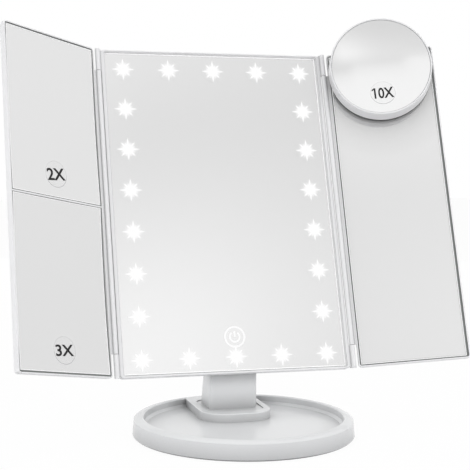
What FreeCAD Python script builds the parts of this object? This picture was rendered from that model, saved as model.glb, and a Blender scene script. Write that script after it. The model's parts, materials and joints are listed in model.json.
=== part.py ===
import FreeCAD, Part
import math
import os

# Three-panel vanity mirror on a round tray stand, in millimetres, +Z up.
# The origin is the centre of the foot ring on the table, and the user looks along +Y.
# The head and the two wings are drawn upright in the head's own frame (x to the right,
# y backwards from the front face, z up from the bottom edge) and then folded and tilted.

V = FreeCAD.Vector
X_AXIS = V(1, 0, 0)
Y_AXIS = V(0, 1, 0)
Z_AXIS = V(0, 0, 1)
LEFT = -1
RIGHT = 1

# ---- pose at rest -------------------------------------------------------------------
TILT_BACK = 18.8          # head leans back from upright, degrees
LEFT_FOLD = 33.0          # left wing swung forward from flat, degrees
RIGHT_FOLD = 18.0         # right wing swung forward from flat, degrees

# ---- clearances ---------------------------------------------------------------------
FIT_LOOSE = 0.3           # between curved or moulded faces of different pieces
FIT_DROP_IN = 0.2         # around a plate that drops into a pocket
FIT_RUNNING = 0.05        # radial, pin in a turning bore

# ---- stand: tray, rim and island -----------------------------------------------------
BASE_R = 77.5             # outer radius just above the table
RIM_CREASE_R = 76.7       # outer radius where the side wall meets the rim
RIM_CREASE_Z = 11.8
RIM_TOP_Z = 13.8
RIM_INNER_R = 69.8
RIM_FLAT_W = 2.2          # flat band on top of the rim, next to the tray
RIM_CROWN = 0.4           # rise of the rim's arc over its chord, outside that band
RIM_EDGE = 0.7            # chamfer along the rim's inner edge
TRAY_FLOOR_Z = 7.8
TRAY_FLOOR_T = 1.8
TRAY_COVE = 1.8           # chamfer between the tray's floor and its wall
TRAY_WALL_DRAFT = 0.6
TRAY_WALL_T = 2.9         # side wall round the hollow underneath
TRAY_EDGE_Z = 0.6         # gap between the tray wall and the table
FOOT_CHAMFER = 1.0
ISLAND_HALF_W = 26.0
ISLAND_FRONT_Y = 4.5
ISLAND_CORNER_R = 18.0
ISLAND_WALL = 2.0
ISLAND_EDGE_R = 0.7
DISH_HALF_W = 21.0        # shallow dish on the island that the neck stands in
DISH_FRONT_Y = 14.0
DISH_BACK_Y = 58.0
DISH_CORNER_R = 8.0
DISH_DEPTH = 0.6

# ---- underside of the stand ----------------------------------------------------------
FOOT_RING_T = 1.0
FOOT_RING_INNER_R = 61.0
FOOT_RING_OUTER_R = 70.5
COVER_T = 1.6
WEIGHT_R = 52.0
WEIGHT_T = 2.5
BASE_SCREW_PCD_R = 57.0
BASE_SCREW_COUNT = 4
BASE_BOSS_R = 3.6

# ---- screws --------------------------------------------------------------------------
SCREW_HEAD_R = 2.5
SCREW_HEAD_T = 1.1
SCREW_SHANK_R = 1.2
SCREW_LENGTH = 4.2

# ---- neck ----------------------------------------------------------------------------
NECK_HALF_W = 17.7
NECK_FRONT_Y = 26.0
NECK_FOOT_DEPTH = 26.0
NECK_BARREL_R = 8.0       # round top of the neck, about the tilt axis
NECK_EDGE_R = 2.2
NECK_WALL = 2.2
NECK_CAVITY_TOP_Z = 35.0
NECK_BOSS_R = 3.4
NECK_BOSS_ROOF = 1.5      # over the end of the screw
NECK_BOSS_INSET = 6.0     # screw boss to the neck's side
NECK_GRIP_DOWN = 5.0      # upper finger groove of the neck cover to its top edge
NECK_GRIP_PITCH = 3.0
NECK_GRIP_HALF_W = 8.0
NECK_GRIP_W = 1.2
NECK_GRIP_DEPTH = 0.5
TILT_AXIS_Z = 46.6
SHAFT_R = 2.5
WASHER_R = 6.5
WASHER_T = 0.5
NUT_R = 4.2
NUT_T = 2.4
NUT_SKIRT = 1.0           # straight edge below the cap's dome

# ---- head: front frame, glass and rear shell --------------------------------------------
HEAD_W = 170.4
HEAD_H = 243.0
HEAD_T = 10.0             # front face to back face of the plain panel
HEAD_CORNER_R = 3.0
HEAD_FRONT_EDGE_R = 0.6
FRAME_DEPTH = 6.0         # front frame, from the front face to the parting line
SIDE_LIP = 3.1            # width of the frame seen beside the glass
END_LIP = 1.6             # width of the frame seen above and below the glass
SIDE_WALL = 1.9
END_WALL = 1.0
LIP_CHAMFER = 0.5
GLASS_RECESS = 2.8        # front face of the frame to the glass
GLASS_T = 2.0
GLASS_CORNER_R = 1.5
SHELL_WALL = 1.7
SHELL_BACK_R = 3.6        # rounding of the rear shell's back edge
SHELL_LIP_T = 0.9         # locating lip of the shell inside the frame
SHELL_RIB_T = 1.2
SHELL_RIB_PITCH = 60.0    # between the cross ribs behind the glass
RIB_ROOT = 0.5            # how far ribs, posts and lips run into the wall that carries them
FRAME_SCREW_SIDE = 5.3    # screw boss of the frame to the head's side
FRAME_SCREW_END = 29.0    # outer screw bosses to the head's top and bottom
FRAME_BOSS_R = 2.6

# ---- light ring ----------------------------------------------------------------------
LED_SIDE_INSET = 16.8     # side columns to the head's sides
LED_TOP_INSET = 14.0      # upper row to the head's top edge
LED_BOTTOM_INSET = 12.2   # lower row to the head's bottom edge
LED_COLUMNS = 5
LED_ROWS = 8
LED_W = 3.5
LED_H = 2.8
LED_T = 0.7
LIGHT_RING_W = 11.0
REFLECTOR_T = 1.6
REFLECTOR_WINDOW = 6.4    # square opening over each lamp
LIGHT_BOARD_T = 1.0

# ---- touch key -----------------------------------------------------------------------
KEY_Z = 26.4
KEY_BOARD_R = 7.8
KEY_BOARD_T = 1.2
KEY_POST_R = 3.0

# ---- battery box on the back -----------------------------------------------------------
BOX_HALF_W = 37.0
BOX_BOTTOM_Z = 42.0
BOX_TOP_Z = 136.0
BOX_BACK_Y = 27.0
BOX_TAPER = 2.5           # the box narrows by this much on each side towards its back
BOX_EDGE_R = 2.4
BOX_CORNER_R = 6.0
CELL_R = 7.1
CELL_LENGTH = 50.0
CELL_NUB_R = 2.7
CELL_NUB_H = 1.0
CELL_COUNT = 4
CELL_PITCH = 15.2
CELL_BOTTOM_Z = 50.5
SPRING_ROOM = 5.0
SPRING_WIDE_R = 4.6
SPRING_NARROW_R = 2.6
CONTACT_HALF_W = 5.0
CONTACT_T = 0.4
DOOR_HALF_W = 31.8
DOOR_TOP_Z = 109.0
DOOR_T = 1.8
DOOR_CORNER_R = 3.0
DOOR_GRIP_RIBS = 5
DOOR_GRIP_DOWN = 14.0     # lowest grip rib to the door's top edge
DOOR_GRIP_PITCH = 2.0
DOOR_GRIP_HALF_W = 9.0
DOOR_GRIP_W = 0.9
DOOR_GRIP_H = 0.6
CONTROL_BOTTOM_Z = 116.0
CONTROL_TOP_Z = 132.0
CONTROL_HALF_W = 31.5
CONTROL_Y = 19.6
CONTROL_T = 1.2
CONTROL_FLOOR_T = 1.5     # box floor under the posts of the control board
CONTROL_POST_X = 20.0
CONTROL_POST_R = 2.2
CHIP_W = 6.0
CHIP_T = 1.4

# ---- switch and charging socket ----------------------------------------------------------
SWITCH_X = -12.0
SWITCH_W = 9.0
SWITCH_H = 4.4
SWITCH_TRAVEL = 3.0
KNOB_W = 3.2
KNOB_H = 2.4
KNOB_PROUD = 0.9
KNOB_GROOVES = 3
KNOB_GROOVE_PITCH = 0.9
KNOB_GROOVE_W = 0.4
KNOB_GROOVE_DEPTH = 0.4
SOCKET_W = 7.6
SOCKET_H = 2.8
SOCKET_D = 5.6
SOCKET_WALL = 0.35
SOCKET_BACK_T = 1.2
SOCKET_TONGUE_T = 0.7
SOCKET_TONGUE_W = 4.6

# ---- tilt joint on the head ----------------------------------------------------------------
TILT_AXIS_DEPTH = 18.6    # behind the head's front face
TILT_AXIS_UP = 12.0       # above the head's bottom edge
EAR_T = 5.0
EAR_R = 7.5
EAR_ROOT_RISE = 9.0       # the ear's web widens upwards by this much at the shell

# ---- wings and their hinges ---------------------------------------------------------------
BARREL_R = 1.8
BARREL_END = 16.6         # length of each fixed knuckle at the ends of the head
HINGE_AHEAD = 0.4         # hinge axis ahead of the front face, so that a wing closes flat
PIN_R = 0.75
PIN_LENGTH = 24.0
WING_GAP = 3.4            # hinge axis to the wing's inner edge
WING_W = 81.5
WING_T = 5.6
WING_RIM = 1.1
WING_CORNER_R = 2.4
WING_BACK_T = 1.5
WING_BACK_R = 2.0
WING_FRONT_R = 0.4
WING_POCKET_R = 1.2
WING_GLASS_RECESS = 0.5
WING_GLASS_T = 2.0
DIVIDER_Z = 122.0
DIVIDER_W = 1.1
DIVIDER_DOWN = 0.1        # front of the dividing bar below the wing's front face
MAGNIFIER_T = 2.6
MAGNIFIER_2X_R = 2200.0   # radius of the concave face
MAGNIFIER_3X_R = 1500.0
TAPE_W = 9.0
TAPE_INSET = 7.0
TAPE_STRIPS = 4

# ---- spot mirror -----------------------------------------------------------------------------
SPOT_U = 43.0             # centre, from the hinge axis along the right wing
SPOT_DOWN = 18.4          # centre below the wing's top edge
SPOT_REAR_R = 39.2
SPOT_FRONT_R = 38.5
SPOT_FACE = 15.0          # front rim above the wing's front face
SPOT_STANDOFF = 2.6       # rear rim above the wing's front face
SPOT_RIM = 1.1
SPOT_BACK_T = 1.6
SPOT_GLASS_T = 1.8
SPOT_GLASS_DOWN = 0.4     # edge of the glass below the front rim
SPOT_SEAT_W = 1.4
SPOT_GLASS_SPHERE_R = 118.0
SPOT_EDGE = 1.2           # chamfer round the rear face
SPOT_RIM_EDGE = 0.3       # chamfer round the front rim
CUP_COUNT = 3
CUP_CIRCLE_R = 14.0
CUP_R = 7.4
CUP_STEM_R = 3.0
CUP_LIP = 0.8
CUP_EDGE_T = 0.5
CUP_HOLLOW = 1.0          # depth of the hollow under the cup
CUP_SHOULDER = 0.8        # shoulder of the cup under the housing's floor
CUP_KNOB_H = 1.0

# ---- derived places ------------------------------------------------------------------------------
RIM_FLAT_R = RIM_INNER_R + RIM_FLAT_W
TRAY_WALL_R = RIM_INNER_R - TRAY_WALL_DRAFT
TRAY_CAVITY_R = RIM_CREASE_R - TRAY_WALL_T
TILT_AXIS_Y = NECK_FRONT_Y + NECK_BARREL_R
HINGE_X = HEAD_W / 2 + FIT_LOOSE + BARREL_R
HINGE_Y = -HINGE_AHEAD
BARREL_TOP_Z = HEAD_H - BARREL_END
GLASS_BACK_Y = GLASS_RECESS + GLASS_T
REFLECTOR_BACK_Y = GLASS_BACK_Y + REFLECTOR_T
LIGHT_BOARD_BACK_Y = REFLECTOR_BACK_Y + LIGHT_BOARD_T
SHELL_INSIDE_Y = HEAD_T - SHELL_WALL
RIB_ROOT_Y = SHELL_INSIDE_Y + RIB_ROOT
LED_HALF_SPAN_X = HEAD_W / 2 - LED_SIDE_INSET
LED_BOTTOM_Z = LED_BOTTOM_INSET
LED_TOP_Z = HEAD_H - LED_TOP_INSET
COVER_BOTTOM_Z = FOOT_RING_T
COVER_TOP_Z = COVER_BOTTOM_Z + COVER_T
TRAY_UNDER_Z = TRAY_FLOOR_Z - TRAY_FLOOR_T
DISH_Z = RIM_TOP_Z - DISH_DEPTH
NECK_BACK_Y = NECK_FRONT_Y + NECK_FOOT_DEPTH
EAR_INNER_X = NECK_HALF_W + WASHER_T
EAR_OUTER_X = EAR_INNER_X + EAR_T
CELL_Y = HEAD_T + CELL_R + 0.2
DOOR_Y = BOX_BACK_Y - DOOR_T
CONTROL_FLOOR_Y = HEAD_T + CONTROL_FLOOR_T
SWITCH_Z = (CONTROL_BOTTOM_Z + CONTROL_TOP_Z) / 2
WING_TAPE_Y = WING_T - WING_BACK_T
SPOT_Z = HEAD_H - SPOT_DOWN
QUARTER_RISE = 1 - math.sqrt(0.5)     # middle of a quarter circle over its chord, per radius


# ---- small helpers -----------------------------------------------------------------------------------
def box(x0, x1, y0, y1, z0, z1):
    return Part.makeBox(x1 - x0, y1 - y0, z1 - z0, V(x0, y0, z0))


def cylinder(centre, axis, radius, length):
    return Part.makeCylinder(radius, length, centre, axis)


def fused(shapes):
    shapes = list(shapes)
    return shapes[0].multiFuse(shapes[1:]).removeSplitter()


def rounded_outline(u0, u1, v0, v1, radii, point):
    """Closed wire of a rectangle with rounded corners; point(u, v) gives the space point.
    radii are for the corners (u0,v0), (u1,v0), (u1,v1), (u0,v1)."""
    corners = [(u0, v0, 1, 1), (u1, v0, -1, 1), (u1, v1, -1, -1), (u0, v1, 1, -1)]
    edges = []
    ends = []
    for index, (cu, cv, su, sv) in enumerate(corners):
        r = radii[index]
        mid_u = cu + su * r * QUARTER_RISE
        mid_v = cv + sv * r * QUARTER_RISE
        along_v = point(cu, cv + sv * r)
        along_u = point(cu + su * r, cv)
        first, last = (along_v, along_u) if index % 2 == 0 else (along_u, along_v)
        ends.append((first, last))
        edges.append(Part.Arc(first, point(mid_u, mid_v), last).toShape())
    sides = []
    for index in range(4):
        start = ends[index][1]
        end = ends[(index + 1) % 4][0]
        sides.append(edges[index])
        if start.distanceToPoint(end) > 1e-6:
            sides.append(Part.LineSegment(start, end).toShape())
    return Part.Wire(sides)


def panel(x0, x1, z0, z1, y0, y1, radius):
    """Upright plate with rounded corners, from y0 back to y1."""
    wire = rounded_outline(x0, x1, z0, z1, [radius] * 4, lambda u, v: V(u, y0, v))
    return Part.Face(wire).extrude(V(0, y1 - y0, 0))


def slab(x0, x1, y0, y1, z0, z1, radii):
    """Flat-lying plate with rounded corners, from z0 up to z1."""
    wire = rounded_outline(x0, x1, y0, y1, radii, lambda u, v: V(u, v, z0))
    return Part.Face(wire).extrude(V(0, 0, z1 - z0))


def round_edges(shape, radius, chosen):
    """Fillet the edges whose middle point satisfies chosen(point)."""
    edges = []
    for edge in shape.Edges:
        middle = edge.valueAt((edge.FirstParameter + edge.LastParameter) / 2)
        if chosen(middle):
            edges.append(edge)
    return shape.makeFillet(radius, edges)


def near(value, target):
    return abs(value - target) < 1e-4


def revolved(points, centre=V(0, 0, 0), axis=Z_AXIS):
    """Solid of revolution about +Z through centre of a closed outline of (r, z) points.
    A point of three values (r, z, "arc") is the middle of an arc between its neighbours."""
    edges = []
    index = 0
    loop = list(points) + [points[0]]
    while index < len(loop) - 1:
        start = V(loop[index][0], 0, loop[index][1])
        if len(loop[index + 1]) == 3:
            middle = V(loop[index + 1][0], 0, loop[index + 1][1])
            end = V(loop[index + 2][0], 0, loop[index + 2][1])
            edges.append(Part.Arc(start, middle, end).toShape())
            index += 2
        else:
            end = V(loop[index + 1][0], 0, loop[index + 1][1])
            edges.append(Part.LineSegment(start, end).toShape())
            index += 1
    solid = Part.Face(Part.Wire(edges)).revolve(V(0, 0, 0), Z_AXIS, 360)
    turn = FreeCAD.Rotation(Z_AXIS, axis)
    solid.Placement = FreeCAD.Placement(centre, turn)
    return solid


def bulge(start, end, rise):
    """Middle of the arc between two (r, z) points that rises by rise from its chord, to the
    right of the way from start to end."""
    run = end[0] - start[0]
    climb = end[1] - start[1]
    share = rise / math.hypot(run, climb)
    return ((start[0] + end[0]) / 2 + share * climb, (start[1] + end[1]) / 2 - share * run, "arc")


def dome_middle(radius, edge_z, top_z):
    """Middle of the arc from (radius, edge_z) to (0, top_z) of a ball centred on the axis."""
    rise = top_z - edge_z
    ball_r = (radius ** 2 + rise ** 2) / (2 * rise)
    angle = math.asin(radius / ball_r) / 2
    return (ball_r * math.sin(angle), top_z - ball_r * (1 - math.cos(angle)), "arc")


def around(count, radius, start_degrees):
    for step in range(count):
        angle = math.radians(start_degrees + 360.0 * step / count)
        yield radius * math.cos(angle), radius * math.sin(angle)


def screw(tip_direction, head_face):
    """Pan-head screw; head_face is the centre of the head's outer face."""
    head = cylinder(head_face, tip_direction, SCREW_HEAD_R, SCREW_HEAD_T)
    shank_start = head_face + tip_direction * SCREW_HEAD_T
    shank = cylinder(shank_start, tip_direction, SCREW_SHANK_R, SCREW_LENGTH)
    return head.fuse(shank)


# ---- placing ---------------------------------------------------------------------------------------------
def place_on_head(shape):
    """From the head's own frame to the world: onto the tilt axis, leaning back."""
    placed = shape.copy()
    placed.translate(V(0, TILT_AXIS_Y - TILT_AXIS_DEPTH, TILT_AXIS_Z - TILT_AXIS_UP))
    placed.rotate(V(0, TILT_AXIS_Y, TILT_AXIS_Z), X_AXIS, -TILT_BACK)
    return placed


def place_on_wing(shape, side):
    """From a right-hand wing's frame (x outwards from its hinge axis) to the world."""
    placed = shape.copy()
    if side == LEFT:
        placed = placed.mirror(V(0, 0, 0), X_AXIS)
    placed.translate(V(side * HINGE_X, 0, 0))
    fold = LEFT_FOLD if side == LEFT else -RIGHT_FOLD
    placed.rotate(V(side * HINGE_X, HINGE_Y, 0), Z_AXIS, fold)
    return place_on_head(placed)


# ---- stand --------------------------------------------------------------------------------------------------
def island_block(inset, bottom_z, top_z):
    radius = ISLAND_CORNER_R - inset
    back_y = RIM_INNER_R - inset
    return slab(-ISLAND_HALF_W + inset, ISLAND_HALF_W - inset, ISLAND_FRONT_Y + inset,
                back_y, bottom_z, top_z, [radius, radius, 0.5, 0.5])


def base_tray():
    crease = (RIM_CREASE_R, RIM_CREASE_Z)
    flat_start = (RIM_FLAT_R, RIM_TOP_Z)
    body = revolved([
        (0, TRAY_UNDER_Z), (TRAY_CAVITY_R, TRAY_UNDER_Z), (TRAY_CAVITY_R, TRAY_EDGE_Z),
        (BASE_R - FOOT_CHAMFER, TRAY_EDGE_Z), (BASE_R, TRAY_EDGE_Z + FOOT_CHAMFER),
        crease, bulge(crease, flat_start, RIM_CROWN), flat_start,
        (RIM_INNER_R + RIM_EDGE, RIM_TOP_Z), (RIM_INNER_R, RIM_TOP_Z - RIM_EDGE),
        (TRAY_WALL_R, TRAY_FLOOR_Z + TRAY_COVE), (TRAY_WALL_R - TRAY_COVE, TRAY_FLOOR_Z),
        (0, TRAY_FLOOR_Z)])
    island = island_block(0, TRAY_UNDER_Z, RIM_TOP_Z)
    island = round_edges(island, ISLAND_EDGE_R,
                         lambda p: near(p.z, RIM_TOP_Z) and p.y < RIM_INNER_R - 1)
    reach = cylinder(V(0, 0, TRAY_UNDER_Z), Z_AXIS, RIM_FLAT_R, RIM_TOP_Z)
    body = body.fuse(island.common(reach))
    hollow = island_block(ISLAND_WALL, TRAY_UNDER_Z, DISH_Z - ISLAND_WALL)
    dish = slab(-DISH_HALF_W, DISH_HALF_W, DISH_FRONT_Y, DISH_BACK_Y, DISH_Z, RIM_TOP_Z,
                [DISH_CORNER_R] * 4)
    body = body.cut(hollow).cut(dish)
    for x, y in around(BASE_SCREW_COUNT, BASE_SCREW_PCD_R, 45):
        boss = cylinder(V(x, y, COVER_TOP_Z), Z_AXIS, BASE_BOSS_R, TRAY_UNDER_Z - COVER_TOP_Z)
        body = body.fuse(boss)
    for x, y in around(BASE_SCREW_COUNT, BASE_SCREW_PCD_R, 45):
        depth = SCREW_HEAD_T + SCREW_LENGTH
        body = body.cut(cylinder(V(x, y, COVER_BOTTOM_Z), Z_AXIS, SCREW_SHANK_R, depth))
    for x in neck_screw_places():
        hole = cylinder(V(x, neck_screw_y(), TRAY_UNDER_Z), Z_AXIS, SCREW_SHANK_R + FIT_DROP_IN,
                        RIM_TOP_Z)
        body = body.cut(hole)
    return body.removeSplitter()


def neck_screw_places():
    return (-NECK_HALF_W + NECK_BOSS_INSET, NECK_HALF_W - NECK_BOSS_INSET)


def neck_screw_y():
    return NECK_FRONT_Y + NECK_FOOT_DEPTH / 2


def base_cover():
    plate = cylinder(V(0, 0, COVER_BOTTOM_Z), Z_AXIS, TRAY_CAVITY_R - FIT_DROP_IN, COVER_T)
    for x, y in around(BASE_SCREW_COUNT, BASE_SCREW_PCD_R, 45):
        plate = plate.cut(cylinder(V(x, y, COVER_BOTTOM_Z), Z_AXIS,
                                   SCREW_HEAD_R + FIT_DROP_IN, SCREW_HEAD_T))
        plate = plate.cut(cylinder(V(x, y, COVER_BOTTOM_Z), Z_AXIS,
                                   SCREW_SHANK_R + FIT_DROP_IN, COVER_T))
    return plate


def foot_ring():
    ring = cylinder(V(0, 0, 0), Z_AXIS, FOOT_RING_OUTER_R, FOOT_RING_T)
    return ring.cut(cylinder(V(0, 0, 0), Z_AXIS, FOOT_RING_INNER_R, FOOT_RING_T))


def base_weight():
    return cylinder(V(0, 0, COVER_TOP_Z), Z_AXIS, WEIGHT_R, WEIGHT_T)


def base_screws():
    places = around(BASE_SCREW_COUNT, BASE_SCREW_PCD_R, 45)
    return [screw(Z_AXIS, V(x, y, COVER_BOTTOM_Z)) for x, y in places]


def neck_side_profile(inset, bottom_z):
    """Side view of the neck, drawn in the YZ plane; the front is upright and the back slopes."""
    front_y = NECK_FRONT_Y + inset
    radius = NECK_BARREL_R - inset
    back_foot = V(0, NECK_BACK_Y - inset, bottom_z)
    axis = V(0, TILT_AXIS_Y, TILT_AXIS_Z)
    away = back_foot - axis
    reach = away.Length
    lean = math.atan2(away.z, away.y) + math.acos(radius / reach)
    tangent = axis + V(0, radius * math.cos(lean), radius * math.sin(lean))
    front_top = V(0, front_y, TILT_AXIS_Z)
    middle_angle = (lean + math.pi) / 2
    crown = axis + V(0, radius * math.cos(middle_angle), radius * math.sin(middle_angle))
    edges = [Part.LineSegment(V(0, front_y, bottom_z), front_top).toShape(),
             Part.Arc(front_top, crown, tangent).toShape(),
             Part.LineSegment(tangent, back_foot).toShape(),
             Part.LineSegment(back_foot, V(0, front_y, bottom_z)).toShape()]
    return Part.Face(Part.Wire(edges))


def neck_block(inset, half_w, bottom_z):
    face = neck_side_profile(inset, bottom_z)
    face.translate(V(-half_w, 0, 0))
    return face.extrude(V(2 * half_w, 0, 0))


def neck_cavity():
    """Room inside the neck, open to the back, below the barrel."""
    inside = neck_block(NECK_WALL, NECK_HALF_W - NECK_WALL, DISH_Z + NECK_WALL)
    limits = box(-NECK_HALF_W, NECK_HALF_W, NECK_FRONT_Y, NECK_BACK_Y + 1,
                 DISH_Z + NECK_WALL, NECK_CAVITY_TOP_Z)
    return inside.common(limits)


def neck_back_opening():
    """The window in the sloping back wall that the neck cover closes."""
    half_w = NECK_HALF_W - NECK_WALL
    whole = neck_block(0, half_w, DISH_Z)
    core = neck_block(NECK_WALL, half_w, DISH_Z)
    limits = box(-half_w, half_w, TILT_AXIS_Y, NECK_BACK_Y + 1,
                 DISH_Z + NECK_WALL, NECK_CAVITY_TOP_Z)
    return whole.cut(core).common(limits)


def neck():
    body = neck_block(0, NECK_HALF_W, DISH_Z)
    body = round_edges(body, NECK_EDGE_R,
                       lambda p: near(abs(p.x), NECK_HALF_W) and p.z > DISH_Z + 1)
    body = body.cut(neck_cavity()).cut(neck_back_opening())
    bore = cylinder(V(-NECK_HALF_W, TILT_AXIS_Y, TILT_AXIS_Z), X_AXIS,
                    SHAFT_R + FIT_RUNNING, 2 * NECK_HALF_W)
    body = body.cut(bore)
    for x in neck_screw_places():
        boss = cylinder(V(x, neck_screw_y(), DISH_Z), Z_AXIS, NECK_BOSS_R,
                        SCREW_LENGTH + NECK_BOSS_ROOF)
        pilot = cylinder(V(x, neck_screw_y(), DISH_Z), Z_AXIS, SCREW_SHANK_R, SCREW_LENGTH)
        body = body.fuse(boss).cut(pilot)
    return body.removeSplitter()


def neck_cover():
    """Cover of the window in the neck's back, with two finger grooves across it."""
    plate = neck_back_opening()
    rear = neck_block(0, NECK_HALF_W, DISH_Z)
    skin = rear.cut(neck_block(NECK_GRIP_DEPTH, NECK_HALF_W + 1, DISH_Z - 1))
    for groove in range(2):
        z = NECK_CAVITY_TOP_Z - NECK_GRIP_DOWN - groove * NECK_GRIP_PITCH
        band = box(-NECK_GRIP_HALF_W, NECK_GRIP_HALF_W, TILT_AXIS_Y, NECK_BACK_Y + 1,
                   z, z + NECK_GRIP_W)
        plate = plate.cut(band.common(skin))
    return plate


def neck_screws():
    z = DISH_Z - ISLAND_WALL - SCREW_HEAD_T
    return [screw(Z_AXIS, V(x, neck_screw_y(), z)) for x in neck_screw_places()]


def friction_washers():
    washers = []
    for side in (LEFT, RIGHT):
        start = V(side * NECK_HALF_W, TILT_AXIS_Y, TILT_AXIS_Z)
        disc = cylinder(start, X_AXIS * side, WASHER_R, WASHER_T)
        washers.append(disc.cut(cylinder(start, X_AXIS * side, SHAFT_R + FIT_RUNNING, WASHER_T)))
    return washers


def tilt_shaft():
    start = V(-EAR_OUTER_X, TILT_AXIS_Y, TILT_AXIS_Z)
    return cylinder(start, X_AXIS, SHAFT_R, 2 * EAR_OUTER_X)


def tilt_caps():
    """Domed push caps that hold the shaft in the two ears."""
    caps = []
    for side in (LEFT, RIGHT):
        outline = [(0, 0), (NUT_R, 0), (NUT_R, NUT_SKIRT), dome_middle(NUT_R, NUT_SKIRT, NUT_T),
                   (0, NUT_T)]
        centre = V(side * EAR_OUTER_X, TILT_AXIS_Y, TILT_AXIS_Z)
        caps.append(revolved(outline, centre, X_AXIS * side))
    return caps


# ---- head -------------------------------------------------------------------------------------------------------
def head_panel(inset_x, inset_z, y0, y1, radius):
    return panel(-HEAD_W / 2 + inset_x, HEAD_W / 2 - inset_x, inset_z, HEAD_H - inset_z,
                 y0, y1, radius)


def frame_screw_places():
    for z in (FRAME_SCREW_END, HEAD_H / 2, HEAD_H - FRAME_SCREW_END):
        for side in (LEFT, RIGHT):
            yield side, side * (HEAD_W / 2 - FRAME_SCREW_SIDE), z


def fixed_knuckle(side, z0, z1):
    """End knuckle of a wing hinge, carried by the frame's side wall."""
    x = side * HINGE_X
    barrel = cylinder(V(x, HINGE_Y, z0), Z_AXIS, BARREL_R, z1 - z0)
    wall_x = side * (HEAD_W / 2 - RIB_ROOT)
    web = box(min(x, wall_x), max(x, wall_x), HINGE_Y + BARREL_R * 0.3, HINGE_Y + BARREL_R, z0, z1)
    return barrel.fuse(web)


def pin_spans():
    """Lower and upper pin of a wing hinge: each half in a fixed knuckle, half in the wing."""
    half = PIN_LENGTH / 2
    return ((BARREL_END - half, BARREL_END + half), (BARREL_TOP_Z - half, BARREL_TOP_Z + half))


def front_frame():
    body = head_panel(0, 0, 0, FRAME_DEPTH, HEAD_CORNER_R)
    body = round_edges(body, HEAD_FRONT_EDGE_R, lambda p: near(p.y, 0))
    inside = head_panel(SIDE_WALL, END_WALL, GLASS_RECESS, FRAME_DEPTH, GLASS_CORNER_R)
    window = head_panel(SIDE_LIP, END_LIP, -1, GLASS_RECESS, GLASS_CORNER_R)
    flare = head_panel(SIDE_LIP - LIP_CHAMFER, END_LIP - LIP_CHAMFER, -1, LIP_CHAMFER,
                       GLASS_CORNER_R)
    body = body.cut(inside).cut(window).cut(flare)
    for side, x, z in frame_screw_places():
        boss = cylinder(V(x, GLASS_BACK_Y, z), Y_AXIS, FRAME_BOSS_R,
                        SHELL_INSIDE_Y - GLASS_BACK_Y)
        wall_x = side * (HEAD_W / 2 - SIDE_WALL + RIB_ROOT)
        rib = box(min(x, wall_x), max(x, wall_x), GLASS_BACK_Y, FRAME_DEPTH,
                  z - SHELL_RIB_T / 2, z + SHELL_RIB_T / 2)
        body = body.fuse(boss).fuse(rib)
    for side in (LEFT, RIGHT):
        body = body.fuse(fixed_knuckle(side, 0, BARREL_END))
        body = body.fuse(fixed_knuckle(side, BARREL_TOP_Z, HEAD_H))
    for side in (LEFT, RIGHT):
        for z0, z1 in pin_spans():
            body = body.cut(cylinder(V(side * HINGE_X, HINGE_Y, z0), Z_AXIS, PIN_R, z1 - z0))
    for side, x, z in frame_screw_places():
        top = SHELL_INSIDE_Y
        body = body.cut(cylinder(V(x, top, z), -Y_AXIS, SCREW_SHANK_R, top - GLASS_BACK_Y))
    return body.removeSplitter()


def main_mirror():
    return head_panel(SIDE_WALL + FIT_DROP_IN, END_WALL + FIT_DROP_IN, GLASS_RECESS,
                      GLASS_BACK_Y, GLASS_CORNER_R)


def led_places():
    """Round the glass once: top and bottom rows, then the two columns between them."""
    pitch_z = (LED_TOP_Z - LED_BOTTOM_Z) / (LED_ROWS - 1)
    pitch_x = 2 * LED_HALF_SPAN_X / (LED_COLUMNS - 1)
    for z in (LED_BOTTOM_Z, LED_TOP_Z):
        for column in range(LED_COLUMNS):
            yield -LED_HALF_SPAN_X + pitch_x * column, z
    for row in range(1, LED_ROWS - 1):
        for side in (LEFT, RIGHT):
            yield side * LED_HALF_SPAN_X, LED_BOTTOM_Z + pitch_z * row


def light_ring_plate(y0, y1):
    half = LIGHT_RING_W / 2
    outer = panel(-LED_HALF_SPAN_X - half, LED_HALF_SPAN_X + half, LED_BOTTOM_Z - half,
                  LED_TOP_Z + half, y0, y1, 2.0)
    inner = panel(-LED_HALF_SPAN_X + half, LED_HALF_SPAN_X - half, LED_BOTTOM_Z + half,
                  LED_TOP_Z - half, y0 - 1, y1 + 1, 2.0)
    return outer.cut(inner)


def reflector_frame():
    """White spacer behind the glass with a square window over each lamp."""
    half = REFLECTOR_WINDOW / 2
    windows = [box(x - half, x + half, GLASS_BACK_Y, REFLECTOR_BACK_Y, z - half, z + half)
               for x, z in led_places()]
    return light_ring_plate(GLASS_BACK_Y, REFLECTOR_BACK_Y).cut(Part.makeCompound(windows))


def light_board():
    return light_ring_plate(REFLECTOR_BACK_Y, LIGHT_BOARD_BACK_Y)


def leds():
    return [box(x - LED_W / 2, x + LED_W / 2, REFLECTOR_BACK_Y - LED_T, REFLECTOR_BACK_Y,
                z - LED_H / 2, z + LED_H / 2) for x, z in led_places()]


def touch_board():
    return cylinder(V(0, GLASS_BACK_Y, KEY_Z), Y_AXIS, KEY_BOARD_R, KEY_BOARD_T)


def box_body(y0, y1):
    """Battery box drawn as a frustum that narrows towards the back."""
    def section(y):
        slope = BOX_TAPER * (y - HEAD_T) / (BOX_BACK_Y - HEAD_T)
        return rounded_outline(-BOX_HALF_W + slope, BOX_HALF_W - slope, BOX_BOTTOM_Z + slope,
                               BOX_TOP_Z - slope, [BOX_CORNER_R] * 4, lambda u, v: V(u, y, v))
    return Part.makeLoft([section(y0), section(y1)], True, True)


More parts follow.
